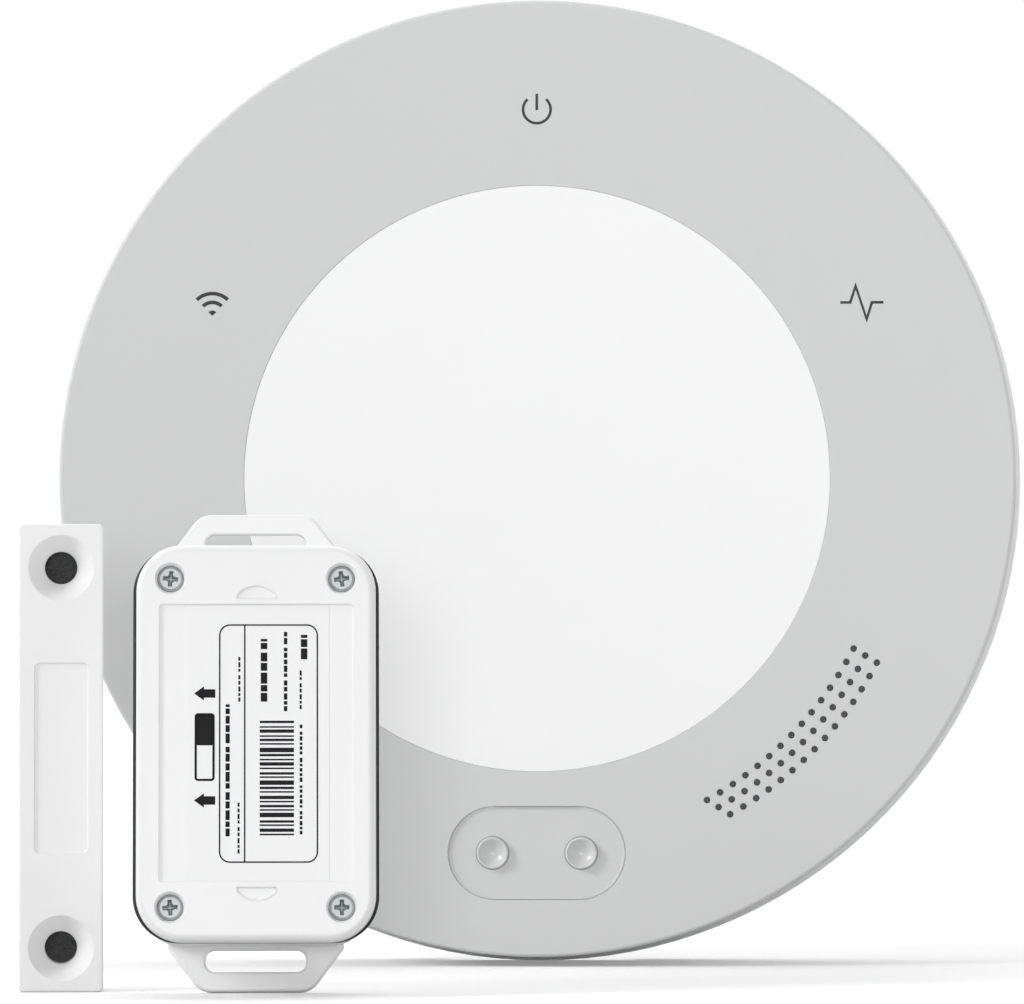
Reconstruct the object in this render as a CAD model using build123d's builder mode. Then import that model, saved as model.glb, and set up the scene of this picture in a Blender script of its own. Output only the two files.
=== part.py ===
from build123d import *
import os
from math import cos, radians, sin, tan

# Garage door controller: a round wall unit with two buttons and a speaker, the wireless
# sensor that goes on the door, and the magnet bar that the sensor looks for.
# Sizes are in millimetres. The front faces -Y, +X is to the right and +Z is up.
# The origin is the middle of the round unit's flat back. All three units stand on one floor.

os.makedirs("parts", exist_ok=True)

# Clearances and cuts that all units share
overrun = 1.0           # how far a cut runs past the faces that it opens
running_gap = 0.1       # radial play of a piece that slides in a hole
seat_gap = 0.15         # play round a fixed piece in its seat
board_thickness = 1.6

# Round unit: outline, seen from the front
hub_radius = 77.5       # white rear housing
hub_depth = 30.0        # flat back to the face of the centre cover
ring_step = 0.5         # the grey ring is this much smaller than the rear housing
ring_draft = 0.8        # degrees that the ring's skirt leans in towards the front
ring_wall = 2.2
ring_round = 0.6        # round on the ring's front edge
seam = 0.3              # gap between the ring's skirt and the rear housing
cover_radius = 46.4
cover_raise = 0.3       # the centre cover stands this proud of the ring
cover_thickness = 2.8
cover_round = 0.7
ledge_width = 3.4       # ledge of the ring that the centre cover rests on
lip_round = 0.3         # small round on the ring where it meets the cover

# Round unit: hooks and stiffening rib behind the centre cover, and the notch in its edge
hook_count = 6
hook_width = 8.0
hook_thickness = 1.4
hook_reach = 1.0
hook_height = 1.2
hook_gap = 0.3
cover_hollow = 1.0
cover_rib_radius = 20.0
cover_rib_width = 1.2
cover_rib_depth = 1.6
notch_radius = 0.4
notch_height = 1.0

# Round unit: rear housing
rear_wall = 2.0
rear_floor = 2.4
rim_height = 8.0
rim_round = 1.2
lip_height = 3.0        # lip that centres the ring on the housing
lip_thickness = 1.6

# Round unit: connector bay in the back, open towards the wall and out through the rim below
bay_width = 54.0
bay_height = 26.0
bay_depth = 11.6
bay_wall = 1.8
bay_top = -40.0         # height of the bay's upper wall, where the sockets open
channel_width = 30.0
channel_depth = 6.2

# Round unit: keyholes that hang it on two wall screws
keyhole_spacing = 60.0
keyhole_height = 26.0
keyhole_entry_radius = 4.25
keyhole_neck_radius = 2.1
keyhole_drop = 7.0

# Round unit: the two buttons in their shallow plate
plate_length = 28.1
plate_height = 14.7
plate_depth = 0.5
plate_share = 0.427     # place across the ring's face, from the cover's edge outwards
button_radius = 2.6
button_spacing = 14.1
button_rise = 1.0       # how far a button stands out of its plate
button_dish = 0.45      # depth of the hollow in its top
dish_radius = 2.25
button_round = 0.25
button_travel = 0.5
flange_width = 0.9
flange_thickness = 1.0
tube_wall = 1.0
tube_length = 3.0
stem_radius = 1.5

# Round unit: sound holes, three equal arcs that shift sideways row by row
grille_share = 0.391
grille_rows = 3
grille_columns = 15
grille_hole_radius = 0.53
grille_first_angle = -60.7
grille_last_angle = -27.4
grille_centre = (-1.56, -0.16)
grille_row_step = (1.84, -1.12)

# Round unit: speaker behind the sound holes
speaker_width_share = 0.65  # of the ring's band
speaker_end = 1.27      # how far the speaker runs past the row of holes
speaker_rim = 2.0
speaker_depth = 3.5
speaker_back = 1.0
speaker_pocket_wall = 1.2
speaker_magnet_share = 0.375  # radius, of the speaker's width
speaker_magnet_depth = 3.6
gasket_thickness = 1.0
cone_cap_share = 0.25   # radius, of the speaker's width
cone_taper = 45.0

# Round unit: lit signs on the face, each with a light guide behind a thin skin
sign_share = 0.4
sign_angles = (90.0, 151.7, 28.4)
sign_skin = 0.8
guide_radius = 3.0
guide_foot_radius = 1.8
guide_head = 3.0
led_size = 3.0
led_height = 1.1
led_gap = 0.3

# Round unit: posts and screws that hold the ring, the housing and the board together
post_inset = 9.0        # from the ring's outline to the middle of a post
post_radius = 3.6
post_angles = (40.0, 140.0, 205.0, 335.0)
housing_boss_height = 3.8
housing_head_radius = 2.7
housing_head_height = 1.8
housing_screw_length = 12.0
screw_radius = 1.25
board_boss_radius = 3.2
board_boss_share = 0.82
board_boss_angles = (60.0, 120.0, 217.0, 323.0)
board_head_radius = 2.5
board_head_height = 1.6
board_screw_length = 8.6
board_screw_depth = 8.0  # of the hole in its boss

# Round unit: main board and what stands on it
board_gap = 0.5         # from the board's edge to the posts
board_clear = 1.1       # from the bay's inner wall to the board
switch_size = 6.0
switch_height = 3.4
plunger_radius = 1.7
plunger_rise = 1.0
plunger_depth = 1.0
relay_width = 13.0
relay_length = 19.0
relay_height = 10.0
relay_spacing = 34.0
relay_place_share = -0.188  # up from the board's middle, of its radius
module_width = 18.0
module_length = 25.0
module_thickness = 1.0
module_place_share = 0.532  # up from the board's middle, of its radius
shield_size = 15.0
shield_margin = 1.0     # from the module's lower edge to its shield
shield_height = 2.4
aerial_radius = 0.45
aerial_height = 5.0
aerial_length = 34.0
aerial_bend = 2.5
aerial_place_shares = (0.297, 0.219)  # across and up, of the board's radius

# Round unit: terminals for the door opener's wires, and the power inlet
terminal_pitch = 3.81
terminal_ways = 4
terminal_place = -10.0
terminal_thickness = 7.2
terminal_margin = 0.8   # plug material outside its outer ways
terminal_grip = 9.0     # length of plug inside the header
terminal_pin_length = 7.2
terminal_free = 8.0     # length of plug that shows in the bay
header_wall = 0.8
header_lift = 1.0       # from the housing's floor to the plug
pin_size = 1.0
pin_slot_gap = 0.25
wire_hole_radius = 1.2
wire_hole_depth = 6.0
terminal_screw_radius = 1.3
terminal_screw_depth = 1.0
terminal_well_depth = 2.4
inlet_place = 16.0
inlet_width = 9.0
inlet_length = 14.0
inlet_bore_radius = 3.15
inlet_bore_depth = 9.5
inlet_pin_radius = 1.0
inlet_pin_length = 8.5
inlet_round = 0.5

# Door sensor: a small sealed case that leans back on its lower ear
sensor_width = 35.0
sensor_height = 58.1
sensor_depth = 19.0
sensor_corner = 6.8
sensor_wall = 1.8
sensor_draft = 1.5
sensor_lean = 6.0
sensor_turn = 3.7       # degrees that its front is turned to the right
sensor_x = -39.7
sensor_y = -107.0
ear_reach = 6.4         # how far each ear stands out of the case
ear_end_width = 16.4
ear_slope_share = 0.75  # how much an ear widens for each step towards the case
ear_thickness = 2.0
ear_corner = 3.2
ear_margin = 2.95       # from an ear's end to its slot
ear_slot_length = 14.9
ear_slot_width = 3.2
ear_slot_corner = 1.4
ear_floor = 1.8

# Door sensor: lid, seal and screws
seal_thickness = 1.2
seal_proud = 0.5
lid_thickness = 3.4
lid_round = 1.1
lid_tongue = 1.6
lid_tongue_wall = 1.2
lid_screw_inset = 5.0   # from the lid's sides to its screws
lid_bore_radius = 2.25
lid_bore_depth = 1.5
lid_hole_radius = 1.25
lid_head_radius = 1.9
lid_head_height = 1.1
lid_screw_shank = 1.05
lid_screw_length = 8.0
lid_boss_radius = 2.9
label_shares = (0.807, 0.698)  # panel's width and height, of the lid's
label_depth = 0.35
label_corner = 0.5
mark_width = 5.6
mark_height = 1.75
mark_place_share = 0.729    # up from the lid's middle, of half its height
mark_depth = 0.3

# Door sensor: board, battery and radio
cell_board_lift = 3.0
cell_board_thickness = 1.2
cell_board_gap = 0.6
cell_radius = 12.25
cell_thickness = 5.0
cell_place = -4.0
cell_step = 1.2
cell_step_height = 0.8
cell_lift = 0.6
clip_width = 4.0
clip_thickness = 0.6
reed_radius = 1.1
reed_length = 14.0
reed_lead_radius = 0.35
reed_lead_length = 4.0
reed_place = (-13.6, 2.0)
chip_size = 6.0
chip_height = 1.2
chip_place = (4.0, 19.0)
loop_place = 13.4
loop_length_share = 0.45    # of the case's height
loop_height = 2.6
loop_radius = 0.4
loop_bend = 1.2

# Magnet bar
magnet_width = 12.5
magnet_height = 69.3
magnet_depth = 7.0
magnet_corner = 0.7
magnet_round = 0.35
magnet_turn = 5.2       # degrees that its front is turned to the right
magnet_x = -68.4
magnet_face_y = -110.2
magnet_hole_spacing = 56.3
magnet_throat_radius = 2.4
magnet_funnel_radius = 4.9
magnet_funnel_angle = 84.0
magnet_panel_width = 7.9
magnet_panel_height = 28.1
magnet_panel_depth = 0.3
magnet_panel_corner = 0.8
block_width = 8.0
block_height = 34.0
block_depth = 4.2
pad_thickness = 0.8
pad_inset = 0.3

# Sizes that follow from the ones above
ring_radius = hub_radius - ring_step
ring_height = hub_depth - cover_raise
ring_inside = ring_height - ring_wall
skirt_height = rim_height + seam
seat_radius = cover_radius + seat_gap
opening_radius = seat_radius - ledge_width
ledge_height = hub_depth - cover_thickness
hook_outside = opening_radius - hook_gap
hook_length = ring_wall + seam + hook_height
ring_band = ring_radius - cover_radius
plate_radius = cover_radius + plate_share * ring_band
sign_radius = cover_radius + sign_share * ring_band
grille_radius = cover_radius + grille_share * ring_band
grille_half_turn = radians((grille_last_angle - grille_first_angle) / 2)
speaker_width = speaker_width_share * ring_band
speaker_length = 2 * (grille_radius * sin(grille_half_turn) + speaker_end)
speaker_magnet_radius = speaker_magnet_share * speaker_width
cone_cap_radius = cone_cap_share * speaker_width
post_circle = ring_radius - post_inset
post_foot = rear_floor + housing_boss_height
board_radius = post_circle - post_radius - board_gap
relay_place = relay_place_share * board_radius
module_place = module_place_share * board_radius
shield_place = module_place - (module_length - shield_size) / 2 + shield_margin
aerial_place = [share * board_radius for share in aerial_place_shares]
board_back = bay_depth + bay_wall + board_clear
board_front = board_back + board_thickness
board_boss_circle = board_boss_share * board_radius
plunger_top = board_front + switch_height + plunger_rise
plate_floor = ring_height - plate_depth
button_top = plate_floor + button_rise
hole_radius = button_radius + running_gap
flange_radius = button_radius + flange_width
floor_z = -hub_radius
ear_span = sensor_height + 2 * ear_reach
lid_screw_x = sensor_width / 2 - lid_screw_inset
lid_screw_y = sensor_height / 2 - lid_screw_inset
label_width = label_shares[0] * sensor_width
label_height = label_shares[1] * sensor_height
mark_place = mark_place_share * sensor_height / 2
loop_length = loop_length_share * sensor_height


def skirt_radius(height):
    """Outer radius of the ring's leaning skirt at a height over the back."""
    return ring_radius - (height - skirt_height) * tan(radians(ring_draft))


def polar(radius, angle):
    """A place on the round unit's face, as seen from the front."""
    return radius * cos(radians(angle)), radius * sin(radians(angle))


# Planes that the units are drawn on: each looks out of its unit's front
hub = Plane(origin=(0, 0, 0), x_dir=(1, 0, 0), z_dir=(0, -1, 0))
hub_section = Plane(origin=(0, 0, 0), x_dir=(1, 0, 0), z_dir=(0, 0, -1))
lean, turn = radians(sensor_lean), radians(sensor_turn)
sensor = Plane(
    origin=(sensor_x, sensor_y, floor_z + ear_span / 2 * cos(lean)),
    x_dir=(cos(turn), sin(turn), 0),
    z_dir=(sin(turn) * cos(lean), -cos(turn) * cos(lean), sin(lean)),
)
bar_turn = radians(magnet_turn)
magnet = Plane(
    origin=(magnet_x, magnet_face_y, floor_z + magnet_height / 2),
    x_dir=(cos(bar_turn), sin(bar_turn), 0),
    z_dir=(sin(bar_turn), -cos(bar_turn), 0),
)

# Places that several pieces share
button_places = {
    "left": (-button_spacing / 2, -plate_radius),
    "right": (button_spacing / 2, -plate_radius),
}
sign_places = [polar(sign_radius, angle) for angle in sign_angles]
post_places = [polar(post_circle, angle) for angle in post_angles]
board_boss_places = [polar(board_boss_circle, angle) for angle in board_boss_angles]
grille_step = (grille_last_angle - grille_first_angle) / (grille_columns - 1)
grille_places = []
for row in range(grille_rows):
    for column in range(grille_columns):
        x, z = polar(grille_radius, grille_first_angle + column * grille_step)
        x += grille_centre[0] + row * grille_row_step[0]
        z += grille_centre[1] + row * grille_row_step[1]
        grille_places.append((x, z))
speaker_angle = (grille_first_angle + grille_last_angle) / 2
speaker_place = grille_places[len(grille_places) // 2]
speaker_turn = speaker_angle + 90


def make_screws(plane, places, head_radius, head_height, shank_radius, shank_length):
    """Screws whose heads stand on the plane and whose shanks run back from it."""
    with BuildPart() as screws:
        with BuildSketch(plane):
            with Locations(*places):
                Circle(head_radius)
        extrude(amount=head_height)
        with BuildSketch(plane):
            with Locations(*places):
                Circle(shank_radius)
        extrude(amount=-shank_length)
    return screws


# Front ring: a turned shell with the cover's ledge, then everything moulded on its inside
with BuildPart() as front_ring:
    with BuildSketch(hub_section) as ring_profile:
        with BuildLine():
            Polyline(
                (ring_radius, skirt_height),
                (skirt_radius(ring_height), ring_height),
                (seat_radius, ring_height),
                (seat_radius, ledge_height),
                (opening_radius, ledge_height),
                (opening_radius, ledge_height - ring_wall),
                (seat_radius + ring_wall, ledge_height - ring_wall),
                (seat_radius + ring_wall, ring_inside),
                (skirt_radius(ring_inside) - ring_wall, ring_inside),
                (ring_radius - ring_wall, skirt_height),
                close=True,
            )
        make_face()
        face_corners = ring_profile.vertices().group_by(Axis.Y)[-1].sort_by(Axis.X)
        fillet(face_corners[-1], radius=ring_round)
        fillet(face_corners[0], radius=lip_round)
    revolve(axis=Axis.Y)
    with BuildSketch(hub.offset(post_foot)):
        with Locations(*post_places):
            Circle(post_radius)
    extrude(amount=ring_inside + ring_wall / 2 - post_foot)
    with BuildSketch(hub.offset(ring_inside + ring_wall / 2)):
        with Locations(*button_places.values()):
            Circle(flange_radius + running_gap + tube_wall)
        with Locations(*sign_places):
            Circle(guide_radius + seat_gap + tube_wall)
        with Locations(speaker_place):
            SlotOverall(
                speaker_length + 2 * (seat_gap + speaker_pocket_wall),
                speaker_width + 2 * (seat_gap + speaker_pocket_wall),
                rotation=speaker_turn,
            )
    extrude(amount=-tube_length - ring_wall / 2)
    with BuildSketch(hub.offset(ring_inside)):
        with Locations(*button_places.values()):
            Circle(flange_radius + running_gap)
        with Locations(speaker_place):
            SlotOverall(
                speaker_length + 2 * seat_gap, speaker_width + 2 * seat_gap, rotation=speaker_turn
            )
    extrude(amount=-tube_length - overrun, mode=Mode.SUBTRACT)
    with BuildSketch(hub.offset(ring_height - sign_skin)):
        with Locations(*sign_places):
            Circle(guide_radius + seat_gap)
    extrude(amount=-ring_wall - tube_length - overrun, mode=Mode.SUBTRACT)
    with BuildSketch(hub.offset(plate_floor)):
        with Locations((0, -plate_radius)):
            SlotOverall(plate_length, plate_height)
    extrude(amount=plate_depth + overrun, mode=Mode.SUBTRACT)
    with BuildSketch(hub.offset(ring_inside - overrun)):
        with Locations(*button_places.values()):
            Circle(hole_radius)
        with Locations(*grille_places):
            Circle(grille_hole_radius)
    extrude(amount=ring_wall + 2 * overrun, mode=Mode.SUBTRACT)
    with BuildSketch(hub.offset(post_foot - overrun)):
        with Locations(*post_places):
            Circle(screw_radius + running_gap)
    extrude(amount=housing_screw_length + overrun, mode=Mode.SUBTRACT)

# Centre cover: a shallow cap with a ring of hooks that catch behind the ledge
with BuildPart() as centre_cover:
    with BuildSketch(hub.offset(ledge_height)):
        Circle(cover_radius)
    extrude(amount=cover_thickness)
    fillet(centre_cover.edges().sort_by(Axis.Y)[0], radius=cover_round)
    with BuildSketch(hub.offset(ledge_height)):
        Circle(hook_outside - 2 * hook_thickness)
    extrude(amount=cover_hollow, mode=Mode.SUBTRACT)
    with BuildSketch(hub.offset(ledge_height + cover_hollow)):
        Circle(cover_rib_radius)
        Circle(cover_rib_radius - cover_rib_width, mode=Mode.SUBTRACT)
    extrude(amount=-cover_rib_depth)
    with BuildSketch(hub.offset(ledge_height)):
        with PolarLocations(hook_outside - hook_thickness / 2, hook_count, start_angle=90):
            Rectangle(hook_thickness, hook_width)
    extrude(amount=-hook_length)
    with BuildSketch(hub.offset(ledge_height - hook_length)):
        with PolarLocations(hook_outside + hook_reach / 2, hook_count, start_angle=90):
            Rectangle(hook_reach + hook_thickness, hook_width)
    extrude(amount=hook_height)
    with BuildSketch(hub.offset(hub_depth - notch_height)):
        with Locations((0, cover_radius)):
            Circle(notch_radius)
    extrude(amount=notch_height + overrun, mode=Mode.SUBTRACT)

# Rear housing: a turned tray with a centring lip, bosses, and the connector bay in its back
lip_radius = skirt_radius(rim_height + lip_height) - ring_wall - seat_gap
bay_middle = bay_top - bay_height / 2
sleeve_height = bay_depth + bay_wall
terminal_width = terminal_ways * terminal_pitch + 2 * terminal_margin
header_width = terminal_width + 2 * (seat_gap + header_wall)
with BuildPart() as rear_housing:
    with BuildSketch(hub_section) as housing_profile:
        with BuildLine():
            Polyline(
                (0, 0),
                (hub_radius, 0),
                (hub_radius, rim_height),
                (lip_radius, rim_height),
                (lip_radius, rim_height + lip_height),
                (lip_radius - lip_thickness, rim_height + lip_height),
                (lip_radius - lip_thickness, rear_floor),
                (0, rear_floor),
                close=True,
            )
        make_face()
        fillet(
            housing_profile.vertices().group_by(Axis.Y)[0].sort_by(Axis.X)[-1], radius=rim_round
        )
    revolve(axis=Axis.Y)
    with BuildSketch(hub):
        with Locations((0, bay_middle)):
            Rectangle(bay_width + 2 * bay_wall, bay_height + 2 * bay_wall)
    extrude(amount=sleeve_height)
    with BuildSketch(hub):
        with Locations((0, bay_middle)):
            Rectangle(channel_width + 2 * bay_wall, bay_height)
        with Locations((0, (bay_top - bay_height - lip_radius) / 2)):
            Rectangle(channel_width + 2 * bay_wall, lip_radius + bay_top - bay_height)
    extrude(amount=rim_height)
    with BuildSketch(hub.offset(rear_floor)):
        with Locations(*post_places):
            Circle(post_radius + bay_wall)
    extrude(amount=housing_boss_height)
    with BuildSketch(hub.offset(rear_floor)):
        with Locations(*board_boss_places):
            Circle(board_boss_radius)
    extrude(amount=board_back - rear_floor)
    with BuildSketch(hub.offset(-overrun)):
        with Locations((0, bay_middle)):
            Rectangle(bay_width, bay_height)
    extrude(amount=bay_depth + overrun, mode=Mode.SUBTRACT)
    with BuildSketch(hub.offset(-overrun)):
        with Locations((0, bay_top - bay_height / 2 - hub_radius / 2)):
            Rectangle(channel_width, hub_radius)
    extrude(amount=channel_depth + overrun, mode=Mode.SUBTRACT)
    with BuildSketch(hub.offset(rear_floor)):
        with Locations((terminal_place, bay_top + bay_wall / 2)):
            Rectangle(header_width + 2 * seat_gap, bay_wall + 2 * seat_gap)
        with Locations((inlet_place, bay_top + bay_wall / 2)):
            Rectangle(inlet_width + 2 * seat_gap, bay_wall + 2 * seat_gap)
    extrude(amount=sleeve_height, mode=Mode.SUBTRACT)
    with BuildSketch(hub.offset(-overrun)):
        with Locations(*post_places):
            Circle(housing_head_radius + seat_gap)
    extrude(amount=overrun + rear_floor + housing_boss_height - bay_wall, mode=Mode.SUBTRACT)
    with BuildSketch(hub.offset(-overrun)):
        with Locations(*post_places):
            Circle(screw_radius + seat_gap)
        with Locations((-keyhole_spacing / 2, keyhole_height), (keyhole_spacing / 2, keyhole_height)):
            Circle(keyhole_entry_radius)
        with Locations(
            (-keyhole_spacing / 2, keyhole_height + keyhole_drop / 2),
            (keyhole_spacing / 2, keyhole_height + keyhole_drop / 2),
        ):
            SlotCenterToCenter(keyhole_drop, 2 * keyhole_neck_radius, rotation=90)
    extrude(amount=rear_floor + housing_boss_height + 2 * overrun, mode=Mode.SUBTRACT)
    with BuildSketch(hub.offset(board_back + overrun)):
        with Locations(*board_boss_places):
            Circle(screw_radius + running_gap)
    extrude(amount=-board_screw_depth - overrun, mode=Mode.SUBTRACT)

housing_screws = make_screws(
    Plane(origin=(0, bay_wall - post_foot, 0), x_dir=(-1, 0, 0), z_dir=(0, 1, 0)),
    [(-x, z) for x, z in post_places],
    housing_head_radius,
    housing_head_height,
    screw_radius,
    housing_screw_length - bay_wall,
)

# Main board: a round board that clears the posts
with BuildPart() as main_board:
    with BuildSketch(hub.offset(board_back)):
        Circle(board_radius)
        with Locations(*board_boss_places):
            Circle(screw_radius + seat_gap, mode=Mode.SUBTRACT)
    extrude(amount=board_thickness)

board_screws = make_screws(
    hub.offset(board_front),
    board_boss_places,
    board_head_radius,
    board_head_height,
    screw_radius,
    board_screw_length,
)


def make_button(place):
    """A round key with a hollow top, a flange that keeps it in, and a stem to its switch."""
    x, z = place
    flange_front = ring_inside - running_gap
    flange_back = flange_front - flange_thickness
    dish_sphere = (dish_radius**2 + button_dish**2) / (2 * button_dish)
    with BuildPart() as button:
        with BuildSketch(Plane(origin=(x, 0, z), x_dir=(1, 0, 0), z_dir=(0, 0, -1))) as outline:
            with BuildLine():
                Polyline(
                    (0, plunger_top),
                    (stem_radius, plunger_top),
                    (stem_radius, flange_back),
                    (flange_radius, flange_back),
                    (flange_radius, flange_front),
                    (button_radius, flange_front),
                    (button_radius, button_top),
                    (0, button_top),
                    close=True,
                )
            make_face()
            fillet(outline.vertices().group_by(Axis.Y)[-1].sort_by(Axis.X)[-1], button_round)
        revolve(axis=Axis((x, 0, z), (0, 1, 0)))
        with Locations((x, button_dish - button_top - dish_sphere, z)):
            Sphere(dish_sphere, mode=Mode.SUBTRACT)
    return button


def make_plunger(place):
    """The small actuator of a tactile switch, which moves with its key."""
    with BuildPart() as plunger:
        with BuildSketch(hub.offset(plunger_top - plunger_rise - plunger_depth)):
            with Locations(place):
                Circle(plunger_radius)
        extrude(amount=plunger_rise + plunger_depth)
    return plunger


def make_switch(place):
    """The square housing of a tactile switch, with the bore that its actuator runs in."""
    with BuildPart() as switch:
        with BuildSketch(hub.offset(board_front)):
            with Locations(place):
                Rectangle(switch_size, switch_size)
        extrude(amount=switch_height)
        with BuildSketch(hub.offset(board_front + switch_height)):
            with Locations(place):
                Circle(plunger_radius + running_gap)
        extrude(amount=-plunger_depth - button_travel - seam, mode=Mode.SUBTRACT)
    return switch


left_button = make_button(button_places["left"])
right_button = make_button(button_places["right"])
left_plunger = make_plunger(button_places["left"])
right_plunger = make_plunger(button_places["right"])
left_switch = make_switch(button_places["left"])
right_switch = make_switch(button_places["right"])

# Lamps and light guides behind the three signs
with BuildPart() as status_leds:
    with BuildSketch(hub.offset(board_front)):
        with Locations(*sign_places):
            Rectangle(led_size, led_size)
    extrude(amount=led_height)

with BuildPart() as light_guides:
    with BuildSketch(hub.offset(ring_height - sign_skin)):
        with Locations(*sign_places):
            Circle(guide_radius)
    extrude(amount=-guide_head)
    with BuildSketch(hub.offset(ring_height - sign_skin - guide_head)):
        with Locations(*sign_places):
            Circle(guide_foot_radius)
    extrude(amount=-(ring_height - sign_skin - guide_head - board_front - led_height - led_gap))

# Speaker: soft gasket, basket, cone and magnet, from the sound holes backwards
basket_front = ring_inside - gasket_thickness
basket_back = basket_front - speaker_depth
with BuildPart() as speaker_gasket:
    with BuildSketch(hub.offset(ring_inside)):
        with Locations(speaker_place):
            SlotOverall(speaker_length, speaker_width, rotation=speaker_turn)
            SlotOverall(
                speaker_length - 2 * speaker_rim,
                speaker_width - 2 * speaker_rim,
                rotation=speaker_turn,
                mode=Mode.SUBTRACT,
            )
    extrude(amount=-gasket_thickness)

with BuildPart() as speaker_frame:
    with BuildSketch(hub.offset(basket_back)):
        with Locations(speaker_place):
            SlotOverall(speaker_length, speaker_width, rotation=speaker_turn)
    extrude(amount=speaker_depth)
    with BuildSketch(hub.offset(basket_back + speaker_back)):
        with Locations(speaker_place):
            SlotOverall(
                speaker_length - 2 * speaker_rim,
                speaker_width - 2 * speaker_rim,
                rotation=speaker_turn,
            )
    extrude(amount=speaker_depth, mode=Mode.SUBTRACT)

with BuildPart() as speaker_cone:
    with BuildSketch(hub.offset(basket_back + speaker_back)):
        with Locations(speaker_place):
            SlotOverall(
                speaker_length - 2 * (speaker_rim + seat_gap),
                speaker_width - 2 * (speaker_rim + seat_gap),
                rotation=speaker_turn,
            )
    extrude(amount=(speaker_depth - speaker_back) / 2)
    with BuildSketch(hub.offset(basket_back + (speaker_back + speaker_depth) / 2)):
        with Locations(speaker_place):
            Circle(cone_cap_radius)
    extrude(amount=(speaker_depth - speaker_back) / 2, taper=cone_taper)

with BuildPart() as speaker_magnet:
    with BuildSketch(hub.offset(basket_back)):
        with Locations(speaker_place):
            Circle(speaker_magnet_radius)
    extrude(amount=-speaker_magnet_depth)

# Relays that close the door opener's circuit
with BuildPart() as door_relays:
    with BuildSketch(hub.offset(board_front)):
        with Locations((-relay_spacing / 2, relay_place), (relay_spacing / 2, relay_place)):
            Rectangle(relay_width, relay_length)
    extrude(amount=relay_height)

# Radio: a small module with a metal can, and a bent wire aerial
with BuildPart() as wireless_module:
    with BuildSketch(hub.offset(board_front)):
        with Locations((0, module_place)):
            Rectangle(module_width, module_length)
    extrude(amount=module_thickness)

with BuildPart() as module_shield:
    with BuildSketch(hub.offset(board_front + module_thickness)):
        with Locations((0, shield_place)):
            Rectangle(shield_size, shield_size)
    extrude(amount=shield_height)

with BuildPart() as radio_aerial:
    with BuildLine() as aerial_path:
        FilletPolyline(
            (aerial_place[0], -board_front, aerial_place[1]),
            (aerial_place[0], -board_front - aerial_height, aerial_place[1]),
            (aerial_place[0], -board_front - aerial_height, aerial_place[1] + aerial_length),
            radius=aerial_bend,
        )
    with BuildSketch(Plane(aerial_path.line @ 0, z_dir=aerial_path.line % 0)):
        Circle(aerial_radius)
    sweep()

# Terminals: a header on the back of the board and a plug that pulls down out of it
plug_low = rear_floor + header_lift
plug_high = plug_low + terminal_thickness
header_mouth = bay_top + seat_gap
header_end = header_mouth + terminal_grip + seat_gap + header_wall
way_places = [
    terminal_place + (way - (terminal_ways - 1) / 2) * terminal_pitch
    for way in range(terminal_ways)
]
with BuildPart() as terminal_header:
    with BuildSketch(Plane.XY.offset(header_mouth)):
        with Locations((terminal_place, -(plug_low - header_wall + board_back) / 2)):
            Rectangle(header_width, board_back - plug_low + header_wall)
    extrude(amount=header_end - header_mouth)
    with BuildSketch(Plane.XY.offset(header_mouth)):
        with Locations((terminal_place, -(plug_low + plug_high) / 2)):
            Rectangle(terminal_width + 2 * seat_gap, terminal_thickness + 2 * seat_gap)
    extrude(amount=terminal_grip + seat_gap, mode=Mode.SUBTRACT)

with BuildPart() as terminal_pins:
    with BuildSketch(Plane.XY.offset(header_end - header_wall)):
        for x in way_places:
            with Locations((x, -(plug_low + plug_high) / 2)):
                Rectangle(pin_size, pin_size)
    extrude(amount=-terminal_pin_length)

well_place = header_mouth - terminal_free / 2
with BuildPart() as terminal_plug:
    with BuildSketch(Plane.XY.offset(header_mouth - terminal_free)):
        with Locations((terminal_place, -(plug_low + plug_high) / 2)):
            Rectangle(terminal_width, terminal_thickness)
    extrude(amount=terminal_free + terminal_grip)
    with BuildSketch(Plane.XY.offset(header_mouth + terminal_grip)):
        for x in way_places:
            with Locations((x, -(plug_low + plug_high) / 2)):
                Rectangle(pin_size + 2 * pin_slot_gap, pin_size + 2 * pin_slot_gap)
    extrude(amount=-terminal_grip, mode=Mode.SUBTRACT)
    with BuildSketch(Plane.XY.offset(header_mouth - terminal_free)):
        for x in way_places:
            with Locations((x, -(plug_low + plug_high) / 2)):
                Circle(wire_hole_radius)
    extrude(amount=wire_hole_depth, mode=Mode.SUBTRACT)
    with BuildSketch(hub.offset(plug_low)):
        for x in way_places:
            with Locations((x, well_place)):
                Circle(terminal_screw_radius + running_gap)
    extrude(amount=terminal_well_depth, mode=Mode.SUBTRACT)

with BuildPart() as terminal_screws:
    with BuildSketch(hub.offset(plug_low + terminal_well_depth)):
        for x in way_places:
            with Locations((x, well_place)):
                Circle(terminal_screw_radius)
    extrude(amount=-terminal_screw_depth)

# Power inlet beside the terminals, with its centre pin
inlet_axis = plug_low - header_wall + inlet_width / 2
with BuildPart() as power_inlet:
    with BuildSketch(Plane.XY.offset(header_mouth)):
        with Locations((inlet_place, -(plug_low - header_wall + board_back) / 2)):
            RectangleRounded(inlet_width, board_back - plug_low + header_wall, inlet_round)
    extrude(amount=inlet_length)
    with BuildSketch(Plane.XY.offset(header_mouth)):
        with Locations((inlet_place, -inlet_axis)):
            Circle(inlet_bore_radius)
    extrude(amount=inlet_bore_depth, mode=Mode.SUBTRACT)

with BuildPart() as inlet_pin:
    with BuildSketch(Plane.XY.offset(header_mouth + inlet_bore_depth)):
        with Locations((inlet_place, -inlet_axis)):
            Circle(inlet_pin_radius)
    extrude(amount=-inlet_pin_length)

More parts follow.
